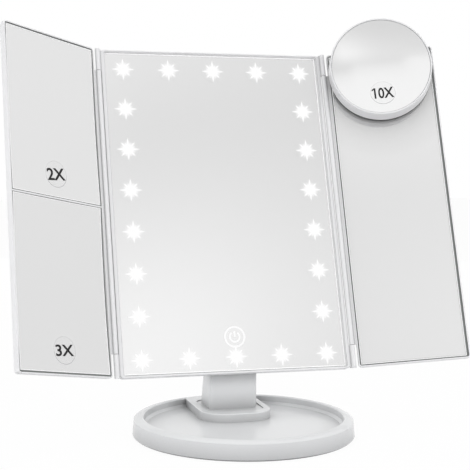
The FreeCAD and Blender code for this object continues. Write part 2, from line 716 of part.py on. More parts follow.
def ear(side):
    """Hinge ear that stands out of the shell's back and carries one end of the tilt shaft."""
    x0 = min(side * EAR_INNER_X, side * EAR_OUTER_X)
    round_end = cylinder(V(x0, TILT_AXIS_DEPTH, TILT_AXIS_UP), X_AXIS, EAR_R, EAR_T)
    low_z = TILT_AXIS_UP - EAR_R
    high_z = TILT_AXIS_UP + EAR_R
    root_y = HEAD_T - RIB_ROOT
    outline = [V(x0, root_y, low_z), V(x0, TILT_AXIS_DEPTH, low_z),
               V(x0, TILT_AXIS_DEPTH, high_z), V(x0, root_y, high_z + EAR_ROOT_RISE),
               V(x0, root_y, low_z)]
    web = Part.Face(Part.makePolygon(outline)).extrude(V(EAR_T, 0, 0))
    return round_end.fuse(web)


def battery_box():
    hump = box_body(HEAD_T - RIB_ROOT, BOX_BACK_Y)
    return round_edges(hump, BOX_EDGE_R, lambda p: near(p.y, BOX_BACK_Y))


def rear_shell():
    body = head_panel(0, 0, FRAME_DEPTH, HEAD_T, HEAD_CORNER_R)
    body = round_edges(body, SHELL_BACK_R, lambda p: near(p.y, HEAD_T))
    body = body.fuse(battery_box())
    body = body.cut(head_panel(SIDE_WALL, END_WALL, FRAME_DEPTH, SHELL_INSIDE_Y,
                               GLASS_CORNER_R))
    body = body.fuse(shell_lip())
    body = body.cut(battery_bay()).cut(control_bay()).cut(door_recess(FIT_DROP_IN))
    body = body.cut(switch_slot()).cut(socket_mouth())
    for side in (LEFT, RIGHT):
        body = body.fuse(ear(side))
    body = body.cut(cylinder(V(-EAR_OUTER_X, TILT_AXIS_DEPTH, TILT_AXIS_UP), X_AXIS, SHAFT_R,
                             2 * EAR_OUTER_X))
    body = body.fuse(shell_supports())
    for side, x, z in frame_screw_places():
        body = body.cut(cylinder(V(x, HEAD_T, z), -Y_AXIS, SCREW_SHANK_R + FIT_DROP_IN,
                                 SHELL_WALL + 1))
    return body.removeSplitter()


def shell_lip():
    """Thin lip that runs inside the frame and holds the glass against the frame's front."""
    side_inset = SIDE_WALL + FIT_DROP_IN
    end_inset = END_WALL + FIT_DROP_IN
    outer = head_panel(side_inset, end_inset, GLASS_BACK_Y, RIB_ROOT_Y, GLASS_CORNER_R)
    inner = head_panel(side_inset + SHELL_LIP_T, end_inset + SHELL_LIP_T, GLASS_BACK_Y,
                       RIB_ROOT_Y, GLASS_CORNER_R)
    ring = outer.cut(inner)
    gap = FRAME_BOSS_R + 2 * FIT_LOOSE
    for side, x, z in frame_screw_places():
        ring = ring.cut(box(x - FRAME_SCREW_SIDE, x + FRAME_SCREW_SIDE, 0, SHELL_INSIDE_Y,
                            z - gap, z + gap))
    return ring


def shell_rib(start, end, y0):
    """Straight rib on the shell's inner face between two (x, z) points, from y0 back."""
    half = SHELL_RIB_T / 2
    return box(min(start[0], end[0]) - half, max(start[0], end[0]) + half, y0, RIB_ROOT_Y,
               min(start[1], end[1]) - half, max(start[1], end[1]) + half)


def shell_supports():
    """Ribs and posts inside the shell that carry the glass, the light ring and the touch key."""
    reach = LED_HALF_SPAN_X - LIGHT_RING_W / 2 - SHELL_RIB_T
    middle = HEAD_H / 2
    pieces = [shell_rib((-reach, middle + step * SHELL_RIB_PITCH),
                        (reach, middle + step * SHELL_RIB_PITCH), GLASS_BACK_Y)
              for step in (-1, 0, 1)]
    for x in (-reach / 2, reach / 2):
        pieces.append(shell_rib((x, middle - SHELL_RIB_PITCH), (x, middle + SHELL_RIB_PITCH),
                                GLASS_BACK_Y))
    for x in (-LED_HALF_SPAN_X, LED_HALF_SPAN_X):
        pieces.append(shell_rib((x, LED_BOTTOM_Z + LIGHT_RING_W), (x, LED_TOP_Z - LIGHT_RING_W),
                                LIGHT_BOARD_BACK_Y))
    for z in (LED_BOTTOM_Z, LED_TOP_Z):
        pieces.append(shell_rib((-reach, z), (reach, z), LIGHT_BOARD_BACK_Y))
    key_back = GLASS_BACK_Y + KEY_BOARD_T
    pieces.append(cylinder(V(0, key_back, KEY_Z), Y_AXIS, KEY_POST_R, RIB_ROOT_Y - key_back))
    return fused(pieces)


def battery_bay():
    """Open compartment for the cells, four round-bottomed troughs side by side."""
    half_w = CELL_PITCH * CELL_COUNT / 2 + 0.6
    top_z = CELL_BOTTOM_Z + SPRING_ROOM + CELL_LENGTH + CELL_NUB_H + CONTACT_T
    low_z = CELL_BOTTOM_Z - CONTACT_T
    bay = box(-half_w, half_w, CELL_Y, BOX_BACK_Y, low_z, top_z)
    for x in cell_places():
        trough = cylinder(V(x, CELL_Y, low_z), Z_AXIS, CELL_PITCH / 2 - 0.1, top_z - low_z)
        bay = bay.fuse(trough.common(box(-half_w, half_w, HEAD_T, BOX_BACK_Y, low_z, top_z)))
    return bay


def cell_places():
    return [CELL_PITCH * (index - (CELL_COUNT - 1) / 2) for index in range(CELL_COUNT)]


def control_bay():
    return box(-CONTROL_HALF_W, CONTROL_HALF_W, CONTROL_FLOOR_Y, DOOR_Y, CONTROL_BOTTOM_Z,
               CONTROL_TOP_Z)


def door_recess(growth):
    """Space of the door, which runs out of the box's lower end, with a gap round it."""
    return panel(-DOOR_HALF_W - growth, DOOR_HALF_W + growth, BOX_BOTTOM_Z - DOOR_CORNER_R,
                 DOOR_TOP_Z + growth, DOOR_Y, BOX_BACK_Y + 1, DOOR_CORNER_R)


def switch_slot():
    half_w = (KNOB_W + SWITCH_TRAVEL) / 2 + FIT_LOOSE
    half_h = KNOB_H / 2 + FIT_LOOSE
    return box(SWITCH_X - half_w, SWITCH_X + half_w, DOOR_Y - 1, BOX_BACK_Y + 1,
               SWITCH_Z - half_h, SWITCH_Z + half_h)


def socket_place():
    """Lower, left, front corner of the charging socket, which looks out of the box's side."""
    return V(CONTROL_HALF_W - SOCKET_D, CONTROL_Y - SOCKET_H, SWITCH_Z - SOCKET_W / 2)


def socket_mouth():
    """Hole through the side of the box in front of the charging socket."""
    corner = socket_place()
    return box(CONTROL_HALF_W - 1, BOX_HALF_W + 2, corner.y - FIT_LOOSE,
               corner.y + SOCKET_H + FIT_LOOSE, corner.z - FIT_LOOSE,
               corner.z + SOCKET_W + FIT_LOOSE)


def usb_socket():
    corner = socket_place()
    shell = Part.makeBox(SOCKET_D, SOCKET_H, SOCKET_W, corner)
    room = Part.makeBox(SOCKET_D, SOCKET_H - 2 * SOCKET_WALL, SOCKET_W - 2 * SOCKET_WALL,
                        corner + V(SOCKET_BACK_T, SOCKET_WALL, SOCKET_WALL))
    tongue = Part.makeBox(SOCKET_D - SOCKET_BACK_T, SOCKET_TONGUE_T, SOCKET_TONGUE_W,
                          corner + V(SOCKET_BACK_T - SOCKET_WALL, (SOCKET_H - SOCKET_TONGUE_T) / 2,
                                     (SOCKET_W - SOCKET_TONGUE_W) / 2))
    return shell.cut(room).fuse(tongue).removeSplitter()


def control_board():
    board = box(-CONTROL_HALF_W + FIT_LOOSE, CONTROL_HALF_W - FIT_LOOSE, CONTROL_Y,
                CONTROL_Y + CONTROL_T, CONTROL_BOTTOM_Z + FIT_LOOSE, CONTROL_TOP_Z - FIT_LOOSE)
    chip = box(-CHIP_W / 2, CHIP_W / 2, CONTROL_Y - CHIP_T, CONTROL_Y,
               SWITCH_Z - CHIP_W / 2, SWITCH_Z + CHIP_W / 2)
    posts = [cylinder(V(x, CONTROL_Y, SWITCH_Z), -Y_AXIS, CONTROL_POST_R,
                      CONTROL_Y - CONTROL_FLOOR_Y) for x in (-CONTROL_POST_X, CONTROL_POST_X)]
    return fused([board, chip] + posts)


def switch_body():
    return box(SWITCH_X - SWITCH_W / 2, SWITCH_X + SWITCH_W / 2, CONTROL_Y + CONTROL_T, DOOR_Y,
               SWITCH_Z - SWITCH_H / 2, SWITCH_Z + SWITCH_H / 2)


def switch_knob():
    """Ridged slider, at rest in its OFF position at the left end of the slot."""
    x = SWITCH_X - SWITCH_TRAVEL / 2
    top_y = BOX_BACK_Y + KNOB_PROUD
    knob = box(x - KNOB_W / 2, x + KNOB_W / 2, DOOR_Y, top_y,
               SWITCH_Z - KNOB_H / 2, SWITCH_Z + KNOB_H / 2)
    for index in range(KNOB_GROOVES):
        groove_x = x + (index - (KNOB_GROOVES - 1) / 2) * KNOB_GROOVE_PITCH
        knob = knob.cut(box(groove_x - KNOB_GROOVE_W / 2, groove_x + KNOB_GROOVE_W / 2,
                            top_y - KNOB_GROOVE_DEPTH, top_y, SWITCH_Z - KNOB_H,
                            SWITCH_Z + KNOB_H))
    return knob


def battery_door():
    plate = battery_box().common(door_recess(0))
    for index in range(DOOR_GRIP_RIBS):
        z = DOOR_TOP_Z - DOOR_GRIP_DOWN + DOOR_GRIP_PITCH * index
        plate = plate.fuse(box(-DOOR_GRIP_HALF_W, DOOR_GRIP_HALF_W, BOX_BACK_Y - DOOR_T / 2,
                               BOX_BACK_Y + DOOR_GRIP_H, z, z + DOOR_GRIP_W))
    return plate.removeSplitter()


def aa_cells():
    cells = []
    for index, x in enumerate(cell_places()):
        up = index % 2 == 0
        low = CELL_BOTTOM_Z + (SPRING_ROOM if up else CELL_NUB_H)
        can = cylinder(V(x, CELL_Y, low), Z_AXIS, CELL_R, CELL_LENGTH)
        nub_z = low + CELL_LENGTH if up else low - CELL_NUB_H
        nub = cylinder(V(x, CELL_Y, nub_z), Z_AXIS, CELL_NUB_R, CELL_NUB_H)
        cells.append(can.fuse(nub))
    return cells


def contact_plate(x, z):
    return box(x - CONTACT_HALF_W, x + CONTACT_HALF_W, CELL_Y - CONTACT_HALF_W,
               CELL_Y + CONTACT_HALF_W, z, z + CONTACT_T)


def battery_contacts():
    """A plate at each end of each cell, with a spring cone at the cell's flat end."""
    pieces = []
    top_z = CELL_BOTTOM_Z + SPRING_ROOM + CELL_LENGTH + CELL_NUB_H
    for index, x in enumerate(cell_places()):
        up = index % 2 == 0
        spring_end = CELL_BOTTOM_Z + SPRING_ROOM if up else CELL_BOTTOM_Z + CELL_NUB_H + CELL_LENGTH
        wall_z = CELL_BOTTOM_Z if up else top_z
        base_z = min(spring_end, wall_z)
        height = abs(spring_end - wall_z)
        foot_r, tip_r = SPRING_WIDE_R, SPRING_NARROW_R
        if not up:
            foot_r, tip_r = tip_r, foot_r
        cone = Part.makeCone(foot_r, tip_r, height, V(x, CELL_Y, base_z), Z_AXIS)
        low_plate = contact_plate(x, CELL_BOTTOM_Z - CONTACT_T)
        high_plate = contact_plate(x, top_z)
        pieces.append(cone.fuse(low_plate if up else high_plate))
        pieces.append(high_plate if up else low_plate)
    return pieces


def rear_screws():
    return [screw(-Y_AXIS, V(x, HEAD_T + SCREW_HEAD_T, z)) for side, x, z in frame_screw_places()]


def hinge_pins(side):
    return [cylinder(V(side * HINGE_X, HINGE_Y, z0), Z_AXIS, PIN_R, z1 - z0)
            for z0, z1 in pin_spans()]


# ---- wings --------------------------------------------------------------------------------------------------------
def wing_panel(inset, y0, y1, radius, z0=0.0, z1=HEAD_H):
    return panel(WING_GAP + inset, WING_GAP + WING_W - inset, z0 + inset, z1 - inset,
                 y0, y1, radius)


def wing_shell(divided):
    """Shallow tray that holds the wing's glass, with the long middle barrel of the hinge."""
    body = wing_panel(0, 0, WING_T, WING_CORNER_R)
    body = round_edges(body, WING_BACK_R, lambda p: near(p.y, WING_T))
    body = round_edges(body, WING_FRONT_R, lambda p: near(p.y, 0))
    body = body.cut(wing_panel(WING_RIM, -1, WING_TAPE_Y, WING_POCKET_R))
    if divided:
        body = body.fuse(box(WING_GAP + WING_RIM - DIVIDER_DOWN,
                             WING_GAP + WING_W - WING_RIM + DIVIDER_DOWN, DIVIDER_DOWN,
                             WING_TAPE_Y + RIB_ROOT,
                             DIVIDER_Z - DIVIDER_W / 2, DIVIDER_Z + DIVIDER_W / 2))
    z0 = BARREL_END + FIT_LOOSE
    z1 = BARREL_TOP_Z - FIT_LOOSE
    barrel = cylinder(V(0, HINGE_Y, z0), Z_AXIS, BARREL_R, z1 - z0)
    web = box(0, WING_GAP + WING_RIM, HINGE_Y + BARREL_R * 0.3, HINGE_Y + BARREL_R, z0, z1)
    body = body.fuse(barrel).fuse(web)
    for start, end in pin_spans():
        body = body.cut(cylinder(V(0, HINGE_Y, start), Z_AXIS, PIN_R + FIT_RUNNING, end - start))
    return body.removeSplitter()


def wing_glass(z0, z1, thickness, sphere_r=0.0):
    """Glass between two heights; with a sphere radius its front face is hollowed."""
    inset = WING_RIM + FIT_DROP_IN
    x0 = WING_GAP + inset
    x1 = WING_GAP + WING_W - inset
    glass = panel(x0, x1, z0, z1, WING_GLASS_RECESS, WING_GLASS_RECESS + thickness,
                  WING_POCKET_R)
    if sphere_r:
        half_diagonal = math.hypot(x1 - x0, z1 - z0) / 2
        sag = sphere_r - math.sqrt(sphere_r ** 2 - half_diagonal ** 2)
        centre = V((x0 + x1) / 2, WING_GLASS_RECESS + sag - sphere_r, (z0 + z1) / 2)
        glass = glass.cut(Part.makeSphere(sphere_r, centre))
    return glass


def left_mirror_2x():
    low = DIVIDER_Z + DIVIDER_W / 2 + FIT_DROP_IN
    high = HEAD_H - WING_RIM - FIT_DROP_IN
    return wing_glass(low, high, MAGNIFIER_T, MAGNIFIER_2X_R)


def left_mirror_3x():
    low = WING_RIM + FIT_DROP_IN
    high = DIVIDER_Z - DIVIDER_W / 2 - FIT_DROP_IN
    return wing_glass(low, high, MAGNIFIER_T, MAGNIFIER_3X_R)


def right_mirror():
    inset = WING_RIM + FIT_DROP_IN
    return wing_glass(inset, HEAD_H - inset, WING_GLASS_T)


def wing_tape(glass_t, heights):
    """Foam tape strips between the glass and the floor of the wing shell."""
    strips = []
    y0 = WING_GLASS_RECESS + glass_t
    for z in heights:
        strips.append(box(WING_GAP + TAPE_INSET, WING_GAP + WING_W - TAPE_INSET, y0, WING_TAPE_Y,
                          z - TAPE_W / 2, z + TAPE_W / 2))
    return strips


def even_places(low, high, count):
    """Middles of count equal stretches between two heights."""
    return [low + (high - low) * (index + 0.5) / count for index in range(count)]


def left_tape():
    half = TAPE_STRIPS // 2
    return wing_tape(MAGNIFIER_T, even_places(0, DIVIDER_Z, half)
                     + even_places(DIVIDER_Z, HEAD_H, half))


def right_tape():
    return wing_tape(WING_GLASS_T, even_places(0, HEAD_H, TAPE_STRIPS))


# ---- spot mirror ---------------------------------------------------------------------------------------------------
def on_spot(shape):
    """From the spot mirror's frame (z out of the wing's front face) to the wing's frame."""
    placed = shape.copy()
    placed.rotate(V(0, 0, 0), X_AXIS, 90)
    placed.translate(V(SPOT_U, 0, SPOT_Z))
    return placed


def spot_housing():
    pocket_r = SPOT_FRONT_R - SPOT_RIM
    floor_z = SPOT_STANDOFF + SPOT_BACK_T
    seat_z = SPOT_FACE - SPOT_GLASS_DOWN - SPOT_GLASS_T
    seat_drop = SPOT_SEAT_W * pocket_r / math.sqrt(SPOT_GLASS_SPHERE_R ** 2 - pocket_r ** 2)
    shell = revolved([
        (0, SPOT_STANDOFF), (SPOT_REAR_R - SPOT_EDGE, SPOT_STANDOFF),
        (SPOT_REAR_R, SPOT_STANDOFF + SPOT_EDGE),
        (SPOT_FRONT_R, SPOT_FACE - SPOT_RIM_EDGE), (SPOT_FRONT_R - SPOT_RIM_EDGE, SPOT_FACE),
        (pocket_r, SPOT_FACE), (pocket_r, seat_z), (pocket_r - SPOT_SEAT_W, seat_z - seat_drop),
        (pocket_r - SPOT_SEAT_W, floor_z), (0, floor_z)])
    for x, y in around(CUP_COUNT, CUP_CIRCLE_R, -90):
        shell = shell.cut(cylinder(V(x, y, SPOT_STANDOFF), Z_AXIS, CUP_STEM_R, SPOT_BACK_T))
    return on_spot(shell)


def spot_glass():
    """Slumped glass: a round cap of even thickness, hollow towards the user."""
    radius = SPOT_FRONT_R - SPOT_RIM - FIT_DROP_IN / 2
    rise = SPOT_GLASS_SPHERE_R - math.sqrt(SPOT_GLASS_SPHERE_R ** 2 - radius ** 2)
    half_rise = SPOT_GLASS_SPHERE_R - math.sqrt(SPOT_GLASS_SPHERE_R ** 2 - (radius / 2) ** 2)
    rim_z = SPOT_FACE - SPOT_GLASS_DOWN
    low = rim_z - rise
    back = SPOT_GLASS_T
    glass = revolved([
        (0, low - back), (radius / 2, low - back + half_rise, "arc"), (radius, rim_z - back),
        (radius, rim_z), (radius / 2, low + half_rise, "arc"), (0, low)])
    return on_spot(glass)


def suction_cups():
    """Soft cups that hold the spot mirror on the wing's glass, with a knob behind the plate."""
    cups = []
    seat = -WING_GLASS_RECESS
    top = SPOT_STANDOFF
    for x, y in around(CUP_COUNT, CUP_CIRCLE_R, -90):
        cup = revolved([
            (0, seat + CUP_HOLLOW), (CUP_R - CUP_LIP, seat), (CUP_R, seat),
            (CUP_R, seat + CUP_EDGE_T), (CUP_STEM_R + CUP_SHOULDER, top),
            (CUP_STEM_R, top), (CUP_STEM_R, top + SPOT_BACK_T + CUP_KNOB_H),
            (0, top + SPOT_BACK_T + CUP_KNOB_H)], V(x, y, 0))
        cups.append(on_spot(cup))
    return cups


# ---- all nodes -----------------------------------------------------------------------------------------------------
def stand_nodes():
    return {
        "base_tray": base_tray(),
        "base_cover": base_cover(),
        "base_weight": base_weight(),
        "foot_ring": foot_ring(),
        "base_screws": base_screws(),
        "neck": neck(),
        "neck_cover": neck_cover(),
        "neck_screws": neck_screws(),
        "friction_washers": friction_washers(),
        "tilt_shaft": tilt_shaft(),
        "tilt_caps": tilt_caps(),
    }


def head_nodes():
    return {
        "front_frame": front_frame(),
        "main_mirror": main_mirror(),
        "reflector_frame": reflector_frame(),
        "light_board": light_board(),
        "leds": leds(),
        "touch_board": touch_board(),
        "rear_shell": rear_shell(),
        "control_board": control_board(),
        "usb_socket": usb_socket(),
        "switch_body": switch_body(),
        "switch_knob": switch_knob(),
        "battery_door": battery_door(),
        "battery_contacts": battery_contacts(),
        "aa_cells": aa_cells(),
        "rear_screws": rear_screws(),
        "left_hinge_pins": hinge_pins(LEFT),
        "right_hinge_pins": hinge_pins(RIGHT),
    }


def left_wing_nodes():
    return {
        "left_wing_shell": wing_shell(True),
        "left_mirror_2x": left_mirror_2x(),
        "left_mirror_3x": left_mirror_3x(),
        "left_mirror_tape": left_tape(),
    }


def right_wing_nodes():
    return {
        "right_wing_shell": wing_shell(False),
        "right_mirror": right_mirror(),
        "right_mirror_tape": right_tape(),
        "spot_housing": spot_housing(),
        "spot_glass": spot_glass(),
        "suction_cups": suction_cups(),
    }


def as_list(solids):
    return solids if isinstance(solids, list) else [solids]


def export(nodes, place):
    for name, solids in nodes.items():
        placed = [place(solid) for solid in as_list(solids)]
        shape = placed[0] if len(placed) == 1 else Part.makeCompound(placed)
        shape.exportStep(os.path.join("parts", name + ".step"))


os.makedirs("parts", exist_ok=True)
export(stand_nodes(), lambda shape: shape)
export(head_nodes(), place_on_head)
export(left_wing_nodes(), lambda shape: place_on_wing(shape, LEFT))
export(right_wing_nodes(), lambda shape: place_on_wing(shape, RIGHT))
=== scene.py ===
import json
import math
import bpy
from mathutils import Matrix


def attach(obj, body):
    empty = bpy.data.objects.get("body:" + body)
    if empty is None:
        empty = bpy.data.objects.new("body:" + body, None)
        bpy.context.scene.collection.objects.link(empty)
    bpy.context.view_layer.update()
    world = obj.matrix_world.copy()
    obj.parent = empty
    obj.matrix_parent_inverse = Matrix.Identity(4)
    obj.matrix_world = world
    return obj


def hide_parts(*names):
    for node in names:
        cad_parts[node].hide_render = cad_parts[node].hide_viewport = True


bl_info = {
    "name": "Trifold vanity mirror",
    "version": (1, 0, 0),
    "blender": (4, 5, 0),
    "location": "View3D > Sidebar > Vanity mirror",
    "description": "Dresses the lighted trifold vanity mirror and sets up its studio",
    "category": "Object",
}

import bmesh
import bpy
from mathutils import Matrix, Vector

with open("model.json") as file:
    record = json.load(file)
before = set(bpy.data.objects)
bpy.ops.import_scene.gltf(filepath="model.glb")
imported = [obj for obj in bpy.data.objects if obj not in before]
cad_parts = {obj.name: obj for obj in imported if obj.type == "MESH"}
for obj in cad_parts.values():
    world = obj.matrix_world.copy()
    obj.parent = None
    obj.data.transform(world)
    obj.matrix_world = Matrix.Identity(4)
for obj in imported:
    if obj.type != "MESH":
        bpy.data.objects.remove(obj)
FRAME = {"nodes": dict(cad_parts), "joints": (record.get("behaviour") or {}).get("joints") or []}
NODES = FRAME["nodes"]
JOINTS = {joint["name"]: joint for joint in FRAME["joints"]}
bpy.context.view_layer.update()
MM = 0.001
FILM = 0.04 * MM          # films, inks and etched windows stand this far off what carries them
SAME_PLACE = FILM / 10    # vertices closer together than this are one
SHARP_BEND = math.radians(35)    # edges that bend by more than this stay sharp
MIRROR_SHARE = 0.85       # share of the light that silvered glass throws back as an image
# Painted shade: share by which close walls darken one another's colour, and how far from each other
# they still do.
FACE_PAINTED_SHADE = (0.3, 3 * MM)
LIP_PAINTED_SHADE = (0.6, 4 * MM)
GAP_PAINTED_SHADE = (0.85, 6 * MM)
WIDE_PAINTED_SHADE = (0.75, 16 * MM)
SPOT_PAINTED_SHADOW = (0.9, 30 * MM)


def linear(hex_colour):
    """The linear colour, with alpha 1, of an sRGB hex colour."""
    channels = [int(hex_colour[i:i + 2], 16) / 255 for i in (0, 2, 4)]
    return [c / 12.92 if c <= 0.04045 else ((c + 0.055) / 1.055) ** 2.4 for c in channels] + [1.0]


def colour(name, description, hex_colour):
    return bpy.props.FloatVectorProperty(name=name, description=description, subtype="COLOR",
                                         size=4, min=0, max=1, default=linear(hex_colour))


def length(name, description, millimetres):
    return bpy.props.FloatProperty(name=name, description=description, subtype="DISTANCE",
                                   unit="LENGTH", default=millimetres * MM)


def power(name, description, watts):
    return bpy.props.FloatProperty(name=name, description=description, unit="POWER",
                                   default=watts)


# ---- local frames, read from the joints
def local_frame(origin, right, up):
    """Matrix of a local frame: x to the right, y backwards, z up."""
    back = up.cross(right)
    turn = Matrix((right, back, up)).transposed()
    return Matrix.Translation(origin) @ turn.to_4x4()


def wing_frame(joint):
    """Frame on the hinge axis of a wing, turned with the wing as it stands at rest."""
    unfolded = math.radians(-joint["range_deg"][0])
    turn = Matrix.Rotation(unfolded, 3, Vector(joint["axis"]))
    return local_frame(Vector(joint["pos_m"]), turn @ Vector((1, 0, 0)), UP)


UP = Vector(JOINTS["left_wing_fold"]["axis"]).normalized()
LEFT_WING = wing_frame(JOINTS["left_wing_fold"])
RIGHT_WING = wing_frame(JOINTS["right_wing_fold"])
HEAD = local_frame((LEFT_WING.translation + RIGHT_WING.translation) / 2, Vector((1, 0, 0)), UP)
# The head seen from behind and the stand seen from below: y still points away from the eye.
HEAD_REAR = local_frame(HEAD.translation, Vector((-1, 0, 0)), UP)
STAND_UNDER = local_frame(Vector(), Vector((-1, 0, 0)), Vector((0, 1, 0)))


def local_box(points):
    """Lowest and highest corner of some points."""
    low = Vector([min(point[i] for point in points) for i in range(3)])
    high = Vector([max(point[i] for point in points) for i in range(3)])
    return low, high


def node_box(node, frame):
    """Corners of a node's box, measured in a local frame."""
    inverse = frame.inverted()
    return local_box([inverse @ vertex.co for vertex in NODES[node].data.vertices])


def solid_boxes(node, frame):
    """Boxes, in a local frame, of the separate solids of one node, in a fixed order."""
    mesh = bmesh.new()
    mesh.from_mesh(NODES[node].data)
    bmesh.ops.remove_doubles(mesh, verts=mesh.verts, dist=SAME_PLACE)
    inverse = frame.inverted()
    waiting = set(mesh.verts)
    boxes = []
    while waiting:
        reached = [waiting.pop()]
        points = []
        while reached:
            vertex = reached.pop()
            points.append(inverse @ vertex.co)
            for edge in vertex.link_edges:
                other = edge.other_vert(vertex)
                if other in waiting:
                    waiting.remove(other)
                    reached.append(other)
        boxes.append(local_box(points))
    mesh.free()
    return sorted(boxes, key=lambda box: [round(value, 5) for value in box[0]])


# ---- pieces
def centre_of(box, y):
    """Middle of a box in x and z, at a given y."""
    low, high = box
    return Vector(((low.x + high.x) / 2, y, (low.z + high.z) / 2))


def verts_in(geometry):
    return [item for item in geometry["geom"] if isinstance(item, bmesh.types.BMVert)]


def put_in_scene(name, data):
    """Object made of a mesh, lamp, camera or curve, placed in the scene."""
    made = bpy.data.objects.new(name, data)
    bpy.context.scene.collection.objects.link(made)
    return made


def as_object(name, mesh, material):
    """Object made of a finished mesh, of one material."""
    data = bpy.data.meshes.new(name)
    mesh.to_mesh(data)
    mesh.free()
    data.materials.append(material)
    return put_in_scene(name, data)


def finish_piece(name, mesh, frame, body, material, replaces=()):
    """Make a piece of a mesh that was drawn in a local frame, and let it ride on a body."""
    bmesh.ops.transform(mesh, matrix=frame, verts=mesh.verts)
    piece = as_object(name, mesh, material)
    piece.data.shade_smooth()
    piece.data.set_sharp_from_angle(angle=SHARP_BEND)
    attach(piece, body)
    if replaces:
        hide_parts(*replaces)
    return piece


def outline_of(mesh, points):
    """A chain of edges through some points, to be spun or extruded."""
    verts = [mesh.verts.new(point) for point in points]
    edges = [mesh.edges.new(pair) for pair in zip(verts, verts[1:])]
    return verts + edges


def spun(mesh, points, centre, axis, steps):
    """Full turn of a chain of points about an axis, closed at the seam."""
    bmesh.ops.spin(mesh, geom=outline_of(mesh, points), cent=centre, axis=axis,
                   dvec=(0, 0, 0), angle=math.tau, steps=steps, use_merge=True)
    bmesh.ops.remove_doubles(mesh, verts=mesh.verts, dist=SAME_PLACE)


def face_front(mesh):
    """Turn every face of flat work towards the user."""
    mesh.normal_update()
    turned = [face for face in mesh.faces if face.normal.y > 0]
    bmesh.ops.reverse_faces(mesh, faces=turned)


def raised(mesh, height):
    """Give flat work in the plane of x and z a thickness towards the eye."""
    face_front(mesh)
    top = bmesh.ops.extrude_face_region(mesh, geom=mesh.faces[:])
    bmesh.ops.translate(mesh, vec=(0, -height, 0), verts=verts_in(top))
    bmesh.ops.recalc_face_normals(mesh, faces=mesh.faces)


# ---- materials
def add_node(tree, kind, links=None, **settings):
    """Add a shader node; links gives each of its sockets another socket or a value."""
    node = tree.nodes.new("ShaderNode" + kind)
    for name, value in settings.items():
        setattr(node, name, value)
    for socket, value in (links or {}).items():
        if isinstance(value, bpy.types.NodeSocket):
            tree.links.new(value, node.inputs[socket])
        else:
            node.inputs[socket].default_value = value
    return node


def start_material(name):
    material = bpy.data.materials.new(name)
    material.use_nodes = True
    material.node_tree.nodes.clear()
    return material, material.node_tree


def end_material(tree, shader):
    add_node(tree, "OutputMaterial", {"Surface": shader.outputs[0]})


COLOUR_A, COLOUR_B, MIXED = 6, 7, 2   # colour sockets of a Mix node
DRIFT = 45 * MM           # the tone of a moulding drifts over about this length
DRIFT_SHADE = 0.965       # and is this much darker where it is darkest
POLISH_SPREAD = (-0.08, 0.1)     # how much smoother and rougher worked metal is in places


def painted_crease_shade(tree, base, share, reach):
    """Node that paints shade into a colour: it darkens it by a share where nearby walls close it
    in.
    """
    openness = add_node(tree, "AmbientOcclusion", {"Distance": reach}, samples=8)
    kept = add_node(tree, "MapRange", {"Value": openness.outputs["AO"], "To Min": 1 - share})
    return add_node(tree, "Mix", {"Factor": 1.0, COLOUR_A: base, COLOUR_B: kept.outputs["Result"]},
                    data_type="RGBA", blend_type="MULTIPLY")


def moulded(name, base, roughness, grain, depth, painted_shade=None, **shader_values):
    """A moulded or coated skin: slow drift of tone, grain of one size and depth, and painted shade
    that darkens its creases by a share within a reach."""
    material, tree = start_material(name)
    place = add_node(tree, "TexCoord").outputs["Object"]
    drift = add_node(tree, "TexNoise", {"Vector": place, "Scale": 1 / DRIFT, "Detail": 2.0})
    skin = add_node(tree, "TexNoise", {"Vector": place, "Scale": 1 / grain, "Detail": 3.0})
    darker = [channel * DRIFT_SHADE for channel in base[:3]] + [1.0]
    tone = add_node(tree, "Mix", {"Factor": drift.outputs["Fac"], COLOUR_A: base, COLOUR_B: darker},
                    data_type="RGBA")
    if painted_shade:
        # painted shade: the tone is darkened where nearby walls close it in
        tone = painted_crease_shade(tree, tone.outputs[MIXED], *painted_shade)
    bump = add_node(tree, "Bump", {"Height": skin.outputs["Fac"], "Distance": depth,
                                   "Strength": 0.6})
    values = {"Base Color": tone.outputs[MIXED], "Roughness": roughness,
              "Normal": bump.outputs["Normal"]}
    values.update(shader_values)
    end_material(tree, add_node(tree, "BsdfPrincipled", values))
    return material


def polished_abs(finish, name="abs_polished", painted_shade=FACE_PAINTED_SHADE):
    # ABS injection moulded in a polished tool: a soft sheen, with the faint 4 mm ripple that
    # the cooling skin leaves.
    return moulded(name, finish.front_white, 0.28, 4 * MM, 0.0015 * MM, painted_shade, IOR=1.53)


def lip_abs(finish, name, glow):
    # The same polished ABS on a thin lip along the glass, whiter and with a faint painted glow, so
    # that it shows as a painted highlight line; the main glass's lip glows most.
    return moulded(name, finish.lip_highlight_white, 0.3, 4 * MM, 0.0015 * MM,
                   **{"IOR": 1.53, "Emission Color": finish.lamp_light,
                      "Emission Strength": glow})


def glossy_abs(finish):
    # ABS of the stand, a shade greyer and glossier, with a 3 mm ripple that is hardly felt, and
    # painted shade that reaches 16 mm from close walls.
    return moulded("abs_glossy", finish.stand_white, 0.2, 3 * MM, 0.001 * MM, WIDE_PAINTED_SHADE,
                   IOR=1.53)


def textured_abs(finish):
    # The same ABS from a spark-eroded tool: 0.8 mm grain, drawn about twice as coarse as it is
    # so that it shows.
    return moulded("abs_textured", finish.rear_white, 0.52, 0.8 * MM, 0.05 * MM, FACE_PAINTED_SHADE,
                   IOR=1.53)


def matt_abs(finish):
    # Matt white ABS of the reflector behind the glass.
    return moulded("abs_matt", finish.rear_white, 0.7, 1.5 * MM, 0.03 * MM, IOR=1.53)


def grey_cover_abs(finish):
    # Lightly greyed ABS of the base cover, with a coarse sand texture.
    return moulded("abs_cover", finish.cover_grey, 0.6, 1.1 * MM, 0.06 * MM, IOR=1.53)


